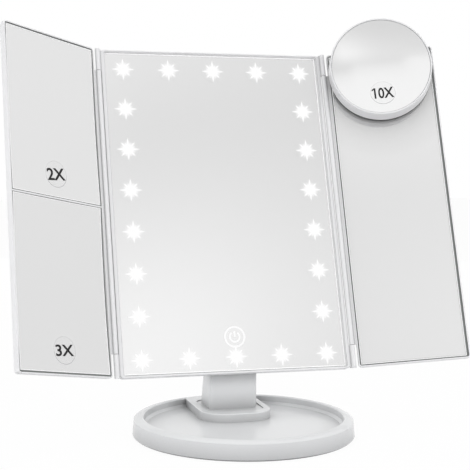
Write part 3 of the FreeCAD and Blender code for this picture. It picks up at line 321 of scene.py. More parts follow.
def black_abs(finish):
    # Black ABS of the slide switch, fine matt grain.
    return moulded("abs_black", finish.switch_black, 0.45, 0.6 * MM, 0.03 * MM, IOR=1.53)


def natural_nylon(finish):
    # Nylon washers: waxy and a little yellow.
    return moulded("nylon_natural", finish.nylon, 0.42, 2 * MM, 0.02 * MM, IOR=1.53)


def foam_rubber(finish):
    # Die-cut EVA foam of the foot ring: open pores of about 0.7 mm.
    return moulded("rubber_foam", finish.foot_rubber, 0.85, 0.7 * MM, 0.12 * MM, IOR=1.5)


def foam_tape(finish):
    # White acrylic foam tape between the glass and the wing.
    return moulded("tape_foam", finish.tape_white, 0.8, 0.9 * MM, 0.08 * MM, IOR=1.48)


def solder_mask(finish):
    # White solder mask on glass-fibre board: glossy lacquer over a 1.2 mm weave.
    return moulded("board_lacquer", finish.board_white, 0.3, 1.2 * MM, 0.02 * MM, IOR=1.5)


def lamp_resin(finish):
    # Phosphor-filled silicone of the lamps, a dull yellow when seen unlit.
    return moulded("lamp_resin", finish.lamp_yellow, 0.45, 0.8 * MM, 0.02 * MM, IOR=1.43)


def cell_wrap(finish):
    # Printed shrink wrap on the cells: dark metallic film, glossy, with shallow wrinkles.
    return moulded("wrap_film", finish.wrap_grey, 0.22, 3 * MM, 0.03 * MM, Metallic=0.6)


def worked_metal(name, base, roughness, grain, stretch):
    """Metal whose surface was worked along one direction, so its grain is longer that way."""
    material, tree = start_material(name)
    place = add_node(tree, "TexCoord").outputs["Object"]
    along = add_node(tree, "Mapping", {"Vector": place, "Scale": stretch})
    lay = add_node(tree, "TexNoise", {"Vector": along.outputs["Vector"],
                                      "Scale": 1 / grain, "Detail": 4.0})
    smooth, rough = [roughness + spread for spread in POLISH_SPREAD]
    gloss = add_node(tree, "MapRange", {"Value": lay.outputs["Fac"],
                                        "To Min": smooth, "To Max": rough})
    bump = add_node(tree, "Bump", {"Height": lay.outputs["Fac"],
                                   "Distance": 0.01 * MM, "Strength": 0.5})
    shader = add_node(tree, "BsdfPrincipled",
                      {"Base Color": base, "Metallic": 1.0, "Roughness": gloss.outputs["Result"],
                       "Normal": bump.outputs["Normal"]})
    end_material(tree, shader)
    return material


def zinc_plate(finish):
    # Bright zinc on steel: cloudy, 1.5 mm spangle without direction.
    return worked_metal("steel_zinc", finish.steel, 0.34, 1.5 * MM, (1, 1, 1))


def ground_steel(finish):
    # Ground steel bar: fine scratches round the bar, drawn 0.5 mm apart.
    return worked_metal("steel_ground", finish.steel, 0.24, 0.5 * MM, (3, 0.4, 0.4))


def nickel_plate(finish):
    # Nickel on spring steel: warmer and shinier than zinc.
    return worked_metal("nickel_plate", finish.nickel, 0.2, 1.0 * MM, (1, 1, 1))


def silvered_glass(finish, name="glass_silvered", shade=None):
    # Float glass silvered on its back, drawn as one bright metal skin: it shows a clean image,
    # hazed a little in patches of 30 mm where it was wiped, and its dust takes soft shadows. Given
    # a shade, it also gets a painted shadow: its silver is darkened near what stands close before
    # it.
    material, tree = start_material(name)
    place = add_node(tree, "TexCoord").outputs["Object"]
    wiped = add_node(tree, "TexNoise", {"Vector": place, "Scale": 1 / (30 * MM), "Detail": 2.0})
    haze = add_node(tree, "MapRange", {"Value": wiped.outputs["Fac"], "To Min": 0.04,
                                       "To Max": 0.09})
    silver = finish.silver
    if shade:
        # painted shadow: the silver darkens close to what stands before the glass
        silver = painted_crease_shade(tree, silver, *shade).outputs[MIXED]
    end_material(tree, add_node(tree, "BsdfPrincipled",
                                {"Base Color": silver, "Metallic": MIRROR_SHARE,
                                 "Roughness": haze.outputs["Result"]}))
    return material


def painted_shade_border(edge):
    # Dark strip along the edge of the glass: painted shade of the narrow gap between the glass and
    # its frame, drawn as the glass's ground border.
    return moulded("glass_ground", edge, 0.35, 0.8 * MM, 0.02 * MM, IOR=1.52)


def lit_window(finish):
    # Star-shaped window etched through the silver: the lamp's light shows in its middle, and a
    # painted glow fades it to mirror round its core and towards the points of its rays, as the
    # attribute says.
    material, tree = start_material("glass_etched_lit")
    glow = add_node(tree, "Attribute", attribute_name="glow")
    mirror = add_node(tree, "BsdfPrincipled",
                      {"Base Color": finish.silver, "Metallic": MIRROR_SHARE,
                       "Roughness": 0.01})
    light = add_node(tree, "Emission", {"Color": finish.lamp_light, "Strength": 1.0})
    end_material(tree, add_node(tree, "MixShader",
                                {0: glow.outputs["Fac"], 1: mirror.outputs[0],
                                 2: light.outputs[0]}))
    return material


def sticker_film(finish):
    # Clear vinyl sticker: it hardly shows but for its cut edge.
    material, tree = start_material("sticker_film")
    edge = add_node(tree, "Attribute", attribute_name="edge")
    clear = add_node(tree, "BsdfTransparent", {"Color": (1, 1, 1, 1)})
    cut = add_node(tree, "BsdfPrincipled", {"Base Color": finish.film_edge,
                                            "Roughness": 0.4, "IOR": 1.5})
    end_material(tree, add_node(tree, "MixShader",
                                {0: edge.outputs["Fac"], 1: clear.outputs[0],
                                 2: cut.outputs[0]}))
    return material


def printed_ink(finish):
    # Black screen ink: matt, and slightly uneven at 0.4 mm, the pitch of the screen.
    return moulded("ink_black", finish.ink, 0.5, 0.4 * MM, 0.01 * MM, IOR=1.5)


def clear_vinyl(finish):
    # Soft clear PVC of the suction cups, moulded, faintly cloudy over 3 mm.
    material, tree = start_material("vinyl_clear")
    place = add_node(tree, "TexCoord").outputs["Object"]
    cloud = add_node(tree, "TexNoise", {"Vector": place, "Scale": 1 / (3 * MM)})
    gloss = add_node(tree, "MapRange", {"Value": cloud.outputs["Fac"],
                                        "To Min": 0.05, "To Max": 0.2})
    end_material(tree, add_node(tree, "BsdfPrincipled",
                                {"Base Color": finish.vinyl, "IOR": 1.54,
                                 "Transmission Weight": 0.8,
                                 "Roughness": gloss.outputs["Result"]}))
    return material


# ---- settings
class StudioSettings(bpy.types.PropertyGroup):
    camera_place: bpy.props.FloatVectorProperty(
        name="Camera", description="Where the camera stands", size=3, subtype="XYZ",
        unit="LENGTH", default=(-0.23426, -0.78648, 0.19729))
    camera_aim: bpy.props.FloatVectorProperty(
        name="Aim", description="Direction in which the camera looks", size=3,
        subtype="DIRECTION", default=(0.27097, 0.95817, -0.09209))
    camera_roll: bpy.props.FloatProperty(
        name="Roll", description="Turn of the camera about its own axis", subtype="ANGLE",
        default=math.radians(0.39))
    focal_length: bpy.props.FloatProperty(
        name="Focal length", description="Focal length on a 36 mm wide sensor, in millimetres",
        default=91.28)
    shift: bpy.props.FloatVectorProperty(
        name="Shift", description="Shift of the lens, as a share of the sensor's width",
        size=2, default=(0.01417, 0.05688))
    left_power: power("Left lamp", "Soft box on the left", 1.5)
    right_power: power("Right lamp", "Soft box on the right", 1.2)
    front_left_power: power("Front left lamp", "Soft box in front on the left", 3.9)
    front_right_power: power("Front right lamp", "Soft box in front on the right", 4.2)
    top_power: power("Top lamp", "Soft box above and behind", 2.8)
    rear_power: power("Rear lamp", "Soft box behind", 3.0)
    fill: bpy.props.FloatProperty(
        name="Fill", description="Strength of the even light from all round", default=0.48)
    paper: colour("Paper", "Floor under the mirror", "C9C9CB")


class FinishSettings(bpy.types.PropertyGroup):
    front_white: colour("Front mouldings", "Polished ABS of frames and wings", "F7F7F8")
    # Whiter than the front mouldings: a painted highlight along the glass.
    lip_highlight_white: colour("Lips", "Thin lips of the frames along the glass", "FFFFFF")
    stand_white: colour("Stand mouldings", "Glossy ABS of base and neck", "ECEDEE")
    rear_white: colour("Rear mouldings", "Textured ABS of the rear shell", "F0F0F1")
    cover_grey: colour("Base cover", "Plate under the base", "DADADC")
    switch_black: colour("Switch", "Slide switch on the back", "1B1B1D")
    nylon: colour("Nylon", "Washers of the tilt joint", "E9E6DA")
    foot_rubber: colour("Foot ring", "Foam ring under the base", "2A2A2C")
    tape_white: colour("Foam tape", "Tape behind the wing mirrors", "EDEDEC")
    board_white: colour("Boards", "Circuit boards", "E9EBE8")
    lamp_yellow: colour("Lamp resin", "Lamps, unlit", "F2E7B0")
    lamp_light: colour("Lamp light", "Light through the etched windows", "FFFFFF")
    wrap_grey: colour("Cell wrap", "Film round the AA cells", "5B5F66")
    steel: colour("Steel", "Screws, shaft and socket", "C3C5C7")
    nickel: colour("Nickel", "Battery contacts", "CFCBC3")
    silver: colour("Silvering", "Mirrors", "F9F9F9")
    # Greys of the dark borders below: painted shade along the glasses' edges.
    glass_edge_shade: colour("Glass edge", "Ground border of the glasses", "7B7E7D")
    spot_edge_shade: colour("Spot glass edge", "Ground border of the round glass", "B4B6B6")
    film_edge: colour("Sticker edge", "Cut edge of the clear stickers", "C9CACB")
    vinyl: colour("Suction cups", "Soft clear vinyl", "EEF0F1")
    ink: colour("Ink", "Magnification signs", "08080A")


class DetailSettings(bpy.types.PropertyGroup):
    window_radius: length("Window", "Longest ray of an etched window", 8.6)
    window_core: length("Window core", "Fully clear middle of an etched window", 3.8)
    key_ring: length("Key ring", "Radius of the ring round the touch key's sign", 7.15)
    key_arc: length("Key arc", "Radius of the open ring of the touch key's sign", 3.6)
    key_line: length("Key line", "Width of the lines of the touch key's sign", 1.3)
    key_up: length("Key height", "Touch key's centre above the frame's bottom edge", 26.5)
    sticker: length("Sticker", "Radius of the round stickers", 9.6)
    hollow_2x: length("Hollow 2X", "Radius of the upper left mirror's hollow face", 2200)
    hollow_3x: length("Hollow 3X", "Radius of the lower left mirror's hollow face", 1500)
    spot_glass: length("Spot glass", "Thickness of the round mirror", 1.8)
    lip: length("Lip", "Width of the white lips inside the ground borders", 0.5)
    knob_proud: length("Switch knob", "How far the switch's knob stands out", 0.9)
    mark_height: length("Marks", "Height of ON and OFF", 2.4)
    mark_proud: length("Relief", "How far ON, OFF and the door's arrow stand out", 0.3)


# ---- the stage
# Name, place and size in metres of each soft box.
LAMPS = (("left", (-1.0, -0.1, 0.13), 0.28), ("right", (1.0, -0.1, 0.4), 0.7),
         ("front_left", (-0.75, -0.95, 0.5), 0.7), ("front_right", (0.75, -0.95, 0.5), 0.7),
         ("top", (0, 0.3, 1.2), 0.9), ("rear", (0.3, 1.2, 0.45), 0.9))
LAMP_AIM = Vector((0, 0.02, 0.1))
PAPER_REACH = 4.0         # from the mirror to the edge of the paper
PAPER_WHITE = 0.955       # share of plain white in the paper where it is seen directly
ROOM_TURN = (-0.1, 0.3)   # towards the back, the room turns white between these
# What shiny faces show of the room: white behind, and in front a bright band at eye height,
# which fades to both sides, under a bright ceiling. Each pair is a place and a brightness.
BAND_BY_HEIGHT = ((0.08, 0.0), (0.18, 0.04), (0.30, 0.14), (0.42, 0.29), (0.48, 0.30),
                  (0.54, 0.19), (0.60, 0.05), (0.66, 0.0))
BAND_ACROSS = ((0.20, 0.3), (0.40, 0.42), (0.50, 0.70), (0.59, 1.0), (0.63, 0.9), (0.67, 0.45),
               (0.71, 0.45), (0.955, 0.45), (0.966, 0.7))
CEILING = ((0.0, 0.68), (0.5, 0.68), (0.62, 0.68), (0.69, 0.87), (0.78, 0.95), (0.92, 0.96))
CEILING_SLOPE = ((0.23, 0.17), (0.30, 0.07), (0.54, 0.07), (0.60, 0.0))


def build_camera(studio):
    data = bpy.data.cameras.new("camera")
    data.sensor_width = 36
    data.lens = studio.focal_length
    data.shift_x, data.shift_y = studio.shift
    camera = put_in_scene("camera", data)
    turn = Vector(studio.camera_aim).to_track_quat("-Z", "Y").to_matrix().to_4x4()
    roll = Matrix.Rotation(studio.camera_roll, 4, "Z")
    camera.matrix_world = Matrix.Translation(studio.camera_place) @ turn @ roll
    bpy.context.scene.camera = camera


def build_lamp(name, place, watts, size):
    """Square soft box that lights the mirror but is not seen in it."""
    data = bpy.data.lights.new(name, "AREA")
    data.energy = watts
    data.size = size
    lamp = put_in_scene(name, data)
    lamp.visible_camera = False
    lamp.visible_glossy = False
    turn = (LAMP_AIM - Vector(place)).to_track_quat("-Z", "Y").to_matrix().to_4x4()
    lamp.matrix_world = Matrix.Translation(place) @ turn


def set_steps(node, steps):
    """Give a ramp its greys; hands back the colour that comes out of it."""
    ramp = node.color_ramp
    while len(ramp.elements) < len(steps):
        ramp.elements.new(1.0)
    for element, (position, grey) in zip(ramp.elements, steps):
        element.position = position
        element.color = (grey, grey, grey, 1)
    ramp.interpolation = "B_SPLINE"
    return node.outputs["Color"]


def seen_by(tree, *rays):
    """1 for rays of the named kinds, 0 for all others."""
    path = add_node(tree, "LightPath")
    seen = path.outputs[rays[0]]
    for kind in rays[1:]:
        seen = add_node(tree, "Math", {0: seen, 1: path.outputs[kind]},
                        operation="MAXIMUM").outputs[0]
    return seen


def build_surroundings(studio):
    """White room; what the mirrors show of it is a soft drift of pale greys."""
    world = bpy.data.worlds.new("studio")
    bpy.context.scene.world = world
    world.use_nodes = True
    tree = world.node_tree
    tree.nodes.clear()
    towards = add_node(tree, "SeparateXYZ", {0: add_node(tree, "TexCoord").outputs["Generated"]})
    height = towards.outputs["Z"]
    across = add_node(tree, "MapRange", {"Value": towards.outputs["X"],
                                         "From Min": -1.0}).outputs["Result"]
    band = set_steps(add_node(tree, "ValToRGB", {"Fac": height}), BAND_BY_HEIGHT)
    reach = set_steps(add_node(tree, "ValToRGB", {"Fac": across}), BAND_ACROSS)
    patch = add_node(tree, "Math", {0: band, 1: reach}, operation="MULTIPLY")
    slope = set_steps(add_node(tree, "ValToRGB", {"Fac": across}), CEILING_SLOPE)
    sloped = add_node(tree, "Math", {0: height, 1: slope}, operation="ADD")
    ceiling = set_steps(add_node(tree, "ValToRGB", {"Fac": sloped.outputs[0]}), CEILING)
    ahead = add_node(tree, "Math", {0: patch.outputs[0], 1: ceiling}, operation="ADD")
    behind = add_node(tree, "MapRange", {"Value": towards.outputs["Y"],
                                         "From Min": ROOM_TURN[0],
                                         "From Max": ROOM_TURN[1]})
    room = add_node(tree, "Mix", {"Factor": behind.outputs["Result"],
                                  COLOUR_A: ahead.outputs[0], COLOUR_B: (1, 1, 1, 1)},
                    data_type="RGBA")
    even = [studio.fill] * 3 + [1.0]
    lit = add_node(tree, "Mix", {"Factor": seen_by(tree, "Is Glossy Ray"), COLOUR_A: even,
                                 COLOUR_B: room.outputs[MIXED]}, data_type="RGBA")
    seen = seen_by(tree, "Is Camera Ray", "Is Transmission Ray")
    shown = add_node(tree, "Mix", {"Factor": seen, COLOUR_A: lit.outputs[MIXED],
                                   COLOUR_B: (1, 1, 1, 1)}, data_type="RGBA")
    ground = add_node(tree, "Background", {"Color": shown.outputs[MIXED], "Strength": 1.0})
    add_node(tree, "OutputWorld", {"Surface": ground.outputs[0]})


def studio_paper(studio):
    # Seamless white paper with a 2 mm fibre: seen directly it is white and keeps only a trace
    # of the shadow. From below it is clear, so that the underside shows.
    material, tree = start_material("paper_white")
    place = add_node(tree, "TexCoord").outputs["Object"]
    fibre = add_node(tree, "TexNoise", {"Vector": place, "Scale": 1 / (2 * MM)})
    bump = add_node(tree, "Bump", {"Height": fibre.outputs["Fac"], "Distance": 0.02 * MM})
    white = add_node(tree, "Emission", {"Color": (1, 1, 1, 1), "Strength": 1.0})
    seen = seen_by(tree, "Is Camera Ray", "Is Transmission Ray", "Is Glossy Ray")
    share = add_node(tree, "Math", {0: seen, 1: PAPER_WHITE}, operation="MULTIPLY")
    tone = add_node(tree, "Mix", {"Factor": seen, COLOUR_A: studio.paper,
                                  COLOUR_B: (1, 1, 1, 1)}, data_type="RGBA")
    matt = add_node(tree, "BsdfDiffuse", {"Color": tone.outputs[MIXED],
                                          "Normal": bump.outputs["Normal"]})
    sheet = add_node(tree, "MixShader",
                     {0: share.outputs[0], 1: matt.outputs[0], 2: white.outputs[0]})
    clear = add_node(tree, "BsdfTransparent")
    side = add_node(tree, "NewGeometry")
    end_material(tree, add_node(tree, "MixShader",
                                {0: side.outputs["Backfacing"], 1: sheet.outputs[0],
                                 2: clear.outputs[0]}))
    return material


class VANITY_OT_stage(bpy.types.Operator):
    """Camera, lamps, surroundings and the paper under the mirror"""
    bl_idname = "vanity.stage"
    bl_label = "Stage"

    def execute(self, context):
        studio = context.scene.vanity_studio
        build_camera(studio)
        build_surroundings(studio)
        for name, place, size in LAMPS:
            build_lamp(name, place, getattr(studio, name + "_power"), size)
        mesh = bmesh.new()
        bmesh.ops.create_grid(mesh, x_segments=1, y_segments=1, size=PAPER_REACH,
                              matrix=Matrix.Translation((0, 0, -FILM)))
        paper = as_object("paper", mesh, studio_paper(studio))
        return {"FINISHED"}


# ---- finishes of the nodes that keep their shape
def dress(material, *nodes):
    for node in nodes:
        for slot in NODES[node].material_slots:
            slot.material = material


class VANITY_OT_mouldings(bpy.types.Operator):
    """Finishes of the moulded and cut plastic parts"""
    bl_idname = "vanity.mouldings"
    bl_label = "Mouldings"

    def execute(self, context):
        finish = context.scene.vanity_finish
        dress(polished_abs(finish), "spot_housing")
        # Frame and wings: the same polished ABS with stronger painted shade, along the frame's
        # inner walls and in the wings' gaps.
        dress(polished_abs(finish, "abs_frame", LIP_PAINTED_SHADE), "front_frame")
        dress(polished_abs(finish, "abs_wing", GAP_PAINTED_SHADE), "left_wing_shell",
              "right_wing_shell")
        dress(glossy_abs(finish), "base_tray", "neck", "neck_cover")
        dress(textured_abs(finish), "rear_shell", "battery_door")
        dress(matt_abs(finish), "reflector_frame")
        dress(grey_cover_abs(finish), "base_cover")
        dress(black_abs(finish), "switch_body", "switch_knob")
        dress(natural_nylon(finish), "friction_washers")
        dress(foam_rubber(finish), "foot_ring")
        dress(foam_tape(finish), "left_mirror_tape", "right_mirror_tape")
        dress(clear_vinyl(finish), "suction_cups")
        return {"FINISHED"}


class VANITY_OT_metals(bpy.types.Operator):
    """Finishes of screws, pins, shaft, weight, socket and contacts"""
    bl_idname = "vanity.metals"
    bl_label = "Metals"

    def execute(self, context):
        finish = context.scene.vanity_finish
        dress(zinc_plate(finish), "base_weight", "neck_screws")
        dress(ground_steel(finish), "tilt_shaft", "tilt_caps", "left_hinge_pins",
              "right_hinge_pins")
        dress(nickel_plate(finish), "battery_contacts", "usb_socket")
        return {"FINISHED"}


class VANITY_OT_electrics(bpy.types.Operator):
    """Finishes of the boards, the lamps and the cells"""
    bl_idname = "vanity.electrics"
    bl_label = "Electrics"

    def execute(self, context):
        finish = context.scene.vanity_finish
        dress(solder_mask(finish), "light_board", "touch_board", "control_board")
        dress(lamp_resin(finish), "leds")
        dress(cell_wrap(finish), "aa_cells")
        return {"FINISHED"}


# ---- screws
# Pan-head screw, in millimetres: radius and depth of the corners of its head, then its shank.
SCREW_HEAD = ((0, 0), (0.35, 0), (1.45, 0), (2.0, 0), (2.35, 0.15), (2.5, 0.45), (2.5, 1.1))
HEAD_DEPTH = 1.1
SHANK_R = 1.2
TIP_R = 0.7
TIP_LENGTH = 0.5
SCREW_STEPS = 24
HEAD_FLAT = 0.05 * MM     # faces within this of the top are the flat of the head
RECESS_HUB = 0.3 * MM
RECESS_ARM = 1.3 * MM
RECESS_DEPTH = 0.8 * MM
RECESS_TAPER = 0.3


def cross_screw(mesh, low, high):
    """Pan-head screw in its box, tip towards +y, with a cross recess pushed into the head."""
    start = set(mesh.verts)
    centre = centre_of((low, high), low.y)
    tip = (high.y - low.y) / MM
    profile = SCREW_HEAD + ((SHANK_R, HEAD_DEPTH), (SHANK_R, tip - TIP_LENGTH), (TIP_R, tip),
                            (0, tip))
    spun(mesh, [centre + Vector((across, along, 0)) * MM for across, along in profile], centre,
         (0, 1, 0), SCREW_STEPS)
    recess = []
    for face in mesh.faces:
        if start.isdisjoint(face.verts):
            place = face.calc_center_median() - centre
            reach = math.hypot(place.x, place.z)
            turn = int(math.atan2(place.z, place.x) / math.tau * SCREW_STEPS)
            on_arm = reach < RECESS_ARM and turn % (SCREW_STEPS // 4) == 0
            if place.y < HEAD_FLAT and (reach < RECESS_HUB or on_arm):
                recess.append(face)
    for vertex in verts_in(bmesh.ops.extrude_face_region(mesh, geom=recess)):
        inwards = centre - vertex.co
        vertex.co += Vector((inwards.x * RECESS_TAPER, RECESS_DEPTH, inwards.z * RECESS_TAPER))
    bmesh.ops.delete(mesh, geom=recess, context="FACES_ONLY")


def screw_set(node, frame):
    """Detailed screws where the plain ones of a node are."""
    mesh = bmesh.new()
    for low, high in solid_boxes(node, frame):
        cross_screw(mesh, low, high)
    bmesh.ops.recalc_face_normals(mesh, faces=mesh.faces)
    return mesh


class VANITY_OT_screws(bpy.types.Operator):
    """Cross-recess screws of the head and the base"""
    bl_idname = "vanity.screws"
    bl_label = "Screws"

    def execute(self, context):
        zinc = zinc_plate(context.scene.vanity_finish)
        for node, frame, body in (("rear_screws", HEAD_REAR, "head"),
                                  ("base_screws", STAND_UNDER, "stand")):
            finish_piece(node + "_cross", screw_set(node, frame), frame, body, zinc,
                         (node,))
        return {"FINISHED"}


# ---- mirrors
GLASS_GRID = (24, 36)     # faces across and up a hollow glass
RIM_RINGS, RIM_STEPS = 24, 128   # faces from the middle of the round glass to its rim, and round
STRIP_ACROSS, STRIP_UP = 30, 40  # faces along the borders
SPOT_BORDER = 0.3 * MM
LIP_RISE = 0.5            # height of a lip, as a share of its width
# Widths in millimetres of the dark borders of painted shade: left, right, bottom and top.
SHADE_BORDER_WIDTHS = {
    "main_mirror": (0.4, 1.1, 1.0, 0.5),
    "right_mirror": (0.7, 1.5, 0.6, 0.6),
    "left_mirror_2x": (0.7, 0.7, 0.5, 0.8),
    "left_mirror_3x": (0.7, 0.7, 1.1, 0.15),
}


def glass_face(node, frame, sphere_radius=math.inf, is_round=False):
    """Depth of a glass's face, hollowed to a sphere, as a function of x and z in a frame."""
    low, high = node_box(node, frame)
    middle = (low + high) / 2
    half = (high - low) / 2
    rim = half.x ** 2 if is_round else half.x ** 2 + half.z ** 2

    def depth(x, z):
        reach = (x - middle.x) ** 2 + (z - middle.z) ** 2
        return low.y + (rim - reach) / 2 / sphere_radius

    return depth


def spot_sphere_radius(context):
    """Radius of the round glass's face, from how deep its node is."""
    low, high = node_box("spot_glass", RIGHT_WING)
    hollow = high.y - low.y - context.scene.vanity_detail.spot_glass
    return ((high.x - low.x) / 2) ** 2 / 2 / hollow


def mirror_faces(context):
    """Frame, body and face of each glass."""
    detail = context.scene.vanity_detail
    return {
        "main_mirror": (HEAD, "head", glass_face("main_mirror", HEAD)),
        "right_mirror": (RIGHT_WING, "right_wing", glass_face("right_mirror", RIGHT_WING)),
        "left_mirror_2x": (LEFT_WING, "left_wing",
                           glass_face("left_mirror_2x", LEFT_WING, detail.hollow_2x)),
        "left_mirror_3x": (LEFT_WING, "left_wing",
                           glass_face("left_mirror_3x", LEFT_WING, detail.hollow_3x)),
        "spot_glass": (RIGHT_WING, "spot_mirror",
                       glass_face("spot_glass", RIGHT_WING, spot_sphere_radius(context), True)),
    }


def upright_grid(mesh, low, high, columns, rows):
    """Grid in the plane of x and z between two corners; gives its new vertices."""
    grid = bmesh.ops.create_grid(mesh, x_segments=columns, y_segments=rows, size=0.5)["verts"]
    middle = (low + high) / 2
    bmesh.ops.transform(mesh, matrix=Matrix.Rotation(math.pi / 2, 4, "X"), verts=grid)
    bmesh.ops.scale(mesh, vec=(high.x - low.x, 1, high.z - low.z), verts=grid)
    bmesh.ops.translate(mesh, vec=(middle.x, 0, middle.z), verts=grid)
    return grid


def lay_on(mesh, depth, lift):
    """Bend flat work onto a face, and keep it a film's thickness or more off it."""
    for vertex in mesh.verts:
        vertex.co.y = depth(vertex.co.x, vertex.co.z) - lift
    face_front(mesh)


def hollow_mirror(node, frame, depth):
    """Rectangular glass with a flat back and a hollow face."""
    low, high = node_box(node, frame)
    mesh = bmesh.new()
    for vertex in upright_grid(mesh, low, high, *GLASS_GRID):
        vertex.co.y = depth(vertex.co.x, vertex.co.z)
    for vertex in verts_in(bmesh.ops.extrude_face_region(mesh, geom=mesh.faces[:])):
        vertex.co.y = high.y
    bmesh.ops.recalc_face_normals(mesh, faces=mesh.faces)
    return mesh


def round_mirror(node, frame, depth, thickness):
    """Round slumped glass of even thickness, hollow towards the user."""
    low, high = node_box(node, frame)
    middle = (low + high) / 2
    radius = (high.x - low.x) / 2
    back = Vector((0, 1, 0))
    face = []
    for index in range(RIM_RINGS + 1):
        x = middle.x + radius * index / RIM_RINGS
        face.append(Vector((x, depth(x, middle.z), middle.z)))
    rear = [point + back * thickness for point in reversed(face)]
    mesh = bmesh.new()
    spun(mesh, face + rear, face[0], back, RIM_STEPS)
    bmesh.ops.recalc_face_normals(mesh, faces=mesh.faces)
    return mesh


def border_strips(node, frame, depth, outer, inner):
    """Four strips round a glass, between two distances from its left, right, bottom and top."""
    low, high = node_box(node, frame)
    (out_low, out_high), (in_low, in_high) = [
        (low + Vector((left, 0, bottom)), high - Vector((right, 0, top)))
        for left, right, bottom, top in (outer, inner)]
    mesh = bmesh.new()
    for x0, z0, x1, z1, grid in (
            (out_low.x, out_low.z, out_high.x, in_low.z, (STRIP_ACROSS, 1)),
            (out_low.x, in_high.z, out_high.x, out_high.z, (STRIP_ACROSS, 1)),
            (out_low.x, in_low.z, in_low.x, in_high.z, (1, STRIP_UP)),
            (in_high.x, in_low.z, out_high.x, in_high.z, (1, STRIP_UP))):
        upright_grid(mesh, Vector((x0, 0, z0)), Vector((x1, 0, z1)), *grid)
    lay_on(mesh, depth, FILM)
    return mesh


class VANITY_OT_mirrors(bpy.types.Operator):
    """Silvered glasses: two flat ones, two hollow ones and the round spot mirror"""
    bl_idname = "vanity.mirrors"
    bl_label = "Mirrors"

    def execute(self, context):
        silver = silvered_glass(context.scene.vanity_finish)
        faces = mirror_faces(context)
        dress(silver, "main_mirror")
        # The right glass gets a painted shadow below the round mirror that stands before it.
        dress(silvered_glass(context.scene.vanity_finish, "glass_shaded", SPOT_PAINTED_SHADOW),
              "right_mirror")
        for node in ("left_mirror_2x", "left_mirror_3x"):
            frame, body, depth = faces[node]
            mesh = hollow_mirror(node, frame, depth)
            finish_piece(node + "_glass", mesh, frame, body, silver, (node,))
        frame, body, depth = faces["spot_glass"]
        mesh = round_mirror("spot_glass", frame, depth, context.scene.vanity_detail.spot_glass)
        finish_piece("spot_mirror_glass", mesh, frame, body, silver,
                     ("spot_glass",))
        return {"FINISHED"}


def round_border(node, frame, width):
    """Ring along the rim of the round glass, where a grey border of painted shade is drawn."""
    low, high = node_box(node, frame)
    centre = centre_of((low, high), 0)
    outer = centre + Vector(((high.x - low.x) / 2, 0, 0))
    mesh = bmesh.new()
    spun(mesh, [outer - Vector((width, 0, 0)), outer], centre, (0, 1, 0), RIM_STEPS)
    return mesh


class VANITY_OT_borders(bpy.types.Operator):
    """Dark borders of painted shade round the glasses, and the white lips that hold the flat ones,
    with a faint painted glow
    """
    bl_idname = "vanity.borders"
    bl_label = "Borders"

    def execute(self, context):
        finish = context.scene.vanity_finish
        ground = painted_shade_border(finish.glass_edge_shade)
        # Painted glow of the lips: stronger round the main glass, faint on the wings.
        lips = {"main_mirror": lip_abs(finish, "abs_lip_lit", 0.3)}
        white = lip_abs(finish, "abs_lip", 0.1)
        lip = context.scene.vanity_detail.lip
        faces = mirror_faces(context)
        for node, widths in SHADE_BORDER_WIDTHS.items():
            frame, body, depth = faces[node]
            dark = [width * MM for width in widths]
            mesh = border_strips(node, frame, depth, (0, 0, 0, 0), dark)
            finish_piece(node + "_border", mesh, frame, body, ground)
            mesh = border_strips(node, frame, depth, dark, [width + lip for width in dark])
            raised(mesh, LIP_RISE * lip)
            finish_piece(node + "_lip", mesh, frame, body, lips.get(node, white))
        frame, body, depth = faces["spot_glass"]
        mesh = round_border("spot_glass", frame, SPOT_BORDER)
        lay_on(mesh, depth, FILM)
        finish_piece("spot_glass_border", mesh, frame, body, painted_shade_border(finish.spot_edge_shade))
        return {"FINISHED"}


# ---- lit windows and the touch key
# The fading rim of each lit core is a painted glow.
PAINTED_HALO = 0.3                # fading rim of a window's core, as a share of the window's radius
# Rays of a window: length and width as shares of its radius, and how strongly they shine.
LONG_RAY = (1.1, 0.3, 1.4)
SHORT_RAY = (0.95, 0.4, 1.3)
RAY_TIP = 0.25 * MM
RAY_FADE = 3              # a ray fades over the last third of its length
WINDOW_RINGS, WINDOW_STEPS = 12, 64
KEY_OPENING = math.radians(36)   # half the opening of the key's inner ring
KEY_BAR_TOP = 0.4         # how far the key's bar passes its ring's radius, in line widths
KEY_GLOW = 0.95
RING_STEPS, ARC_STEPS = 64, 40


def ray(along, aside, reach, long, wide, strength):
    """How strongly a tapering ray of an etched window shines at a point beside its line."""
    left = 1 - along / (long * reach)
    if left <= 0:
        return 0
    share = (1 - aside / (wide * reach * left + RAY_TIP)) * min(1, RAY_FADE * left)
    return strength * share


def window_glow(x, z, detail):
    """How strongly an etched window shines: a round core, four long and four short rays, with a
    painted glow fading the core's rim and the rays' tips.
    """
    reach = detail.window_radius
    halo = 1 - (math.hypot(x, z) - detail.window_core) / (PAINTED_HALO * reach)
    across, up = sorted((abs(x), abs(z)))
    slant_low, slant_high = sorted((abs(x + z) * math.sqrt(0.5), abs(x - z) * math.sqrt(0.5)))
    return min(1.0, max(0.0, halo, ray(up, across, reach, *LONG_RAY),
                        ray(slant_high, slant_low, reach, *SHORT_RAY)))


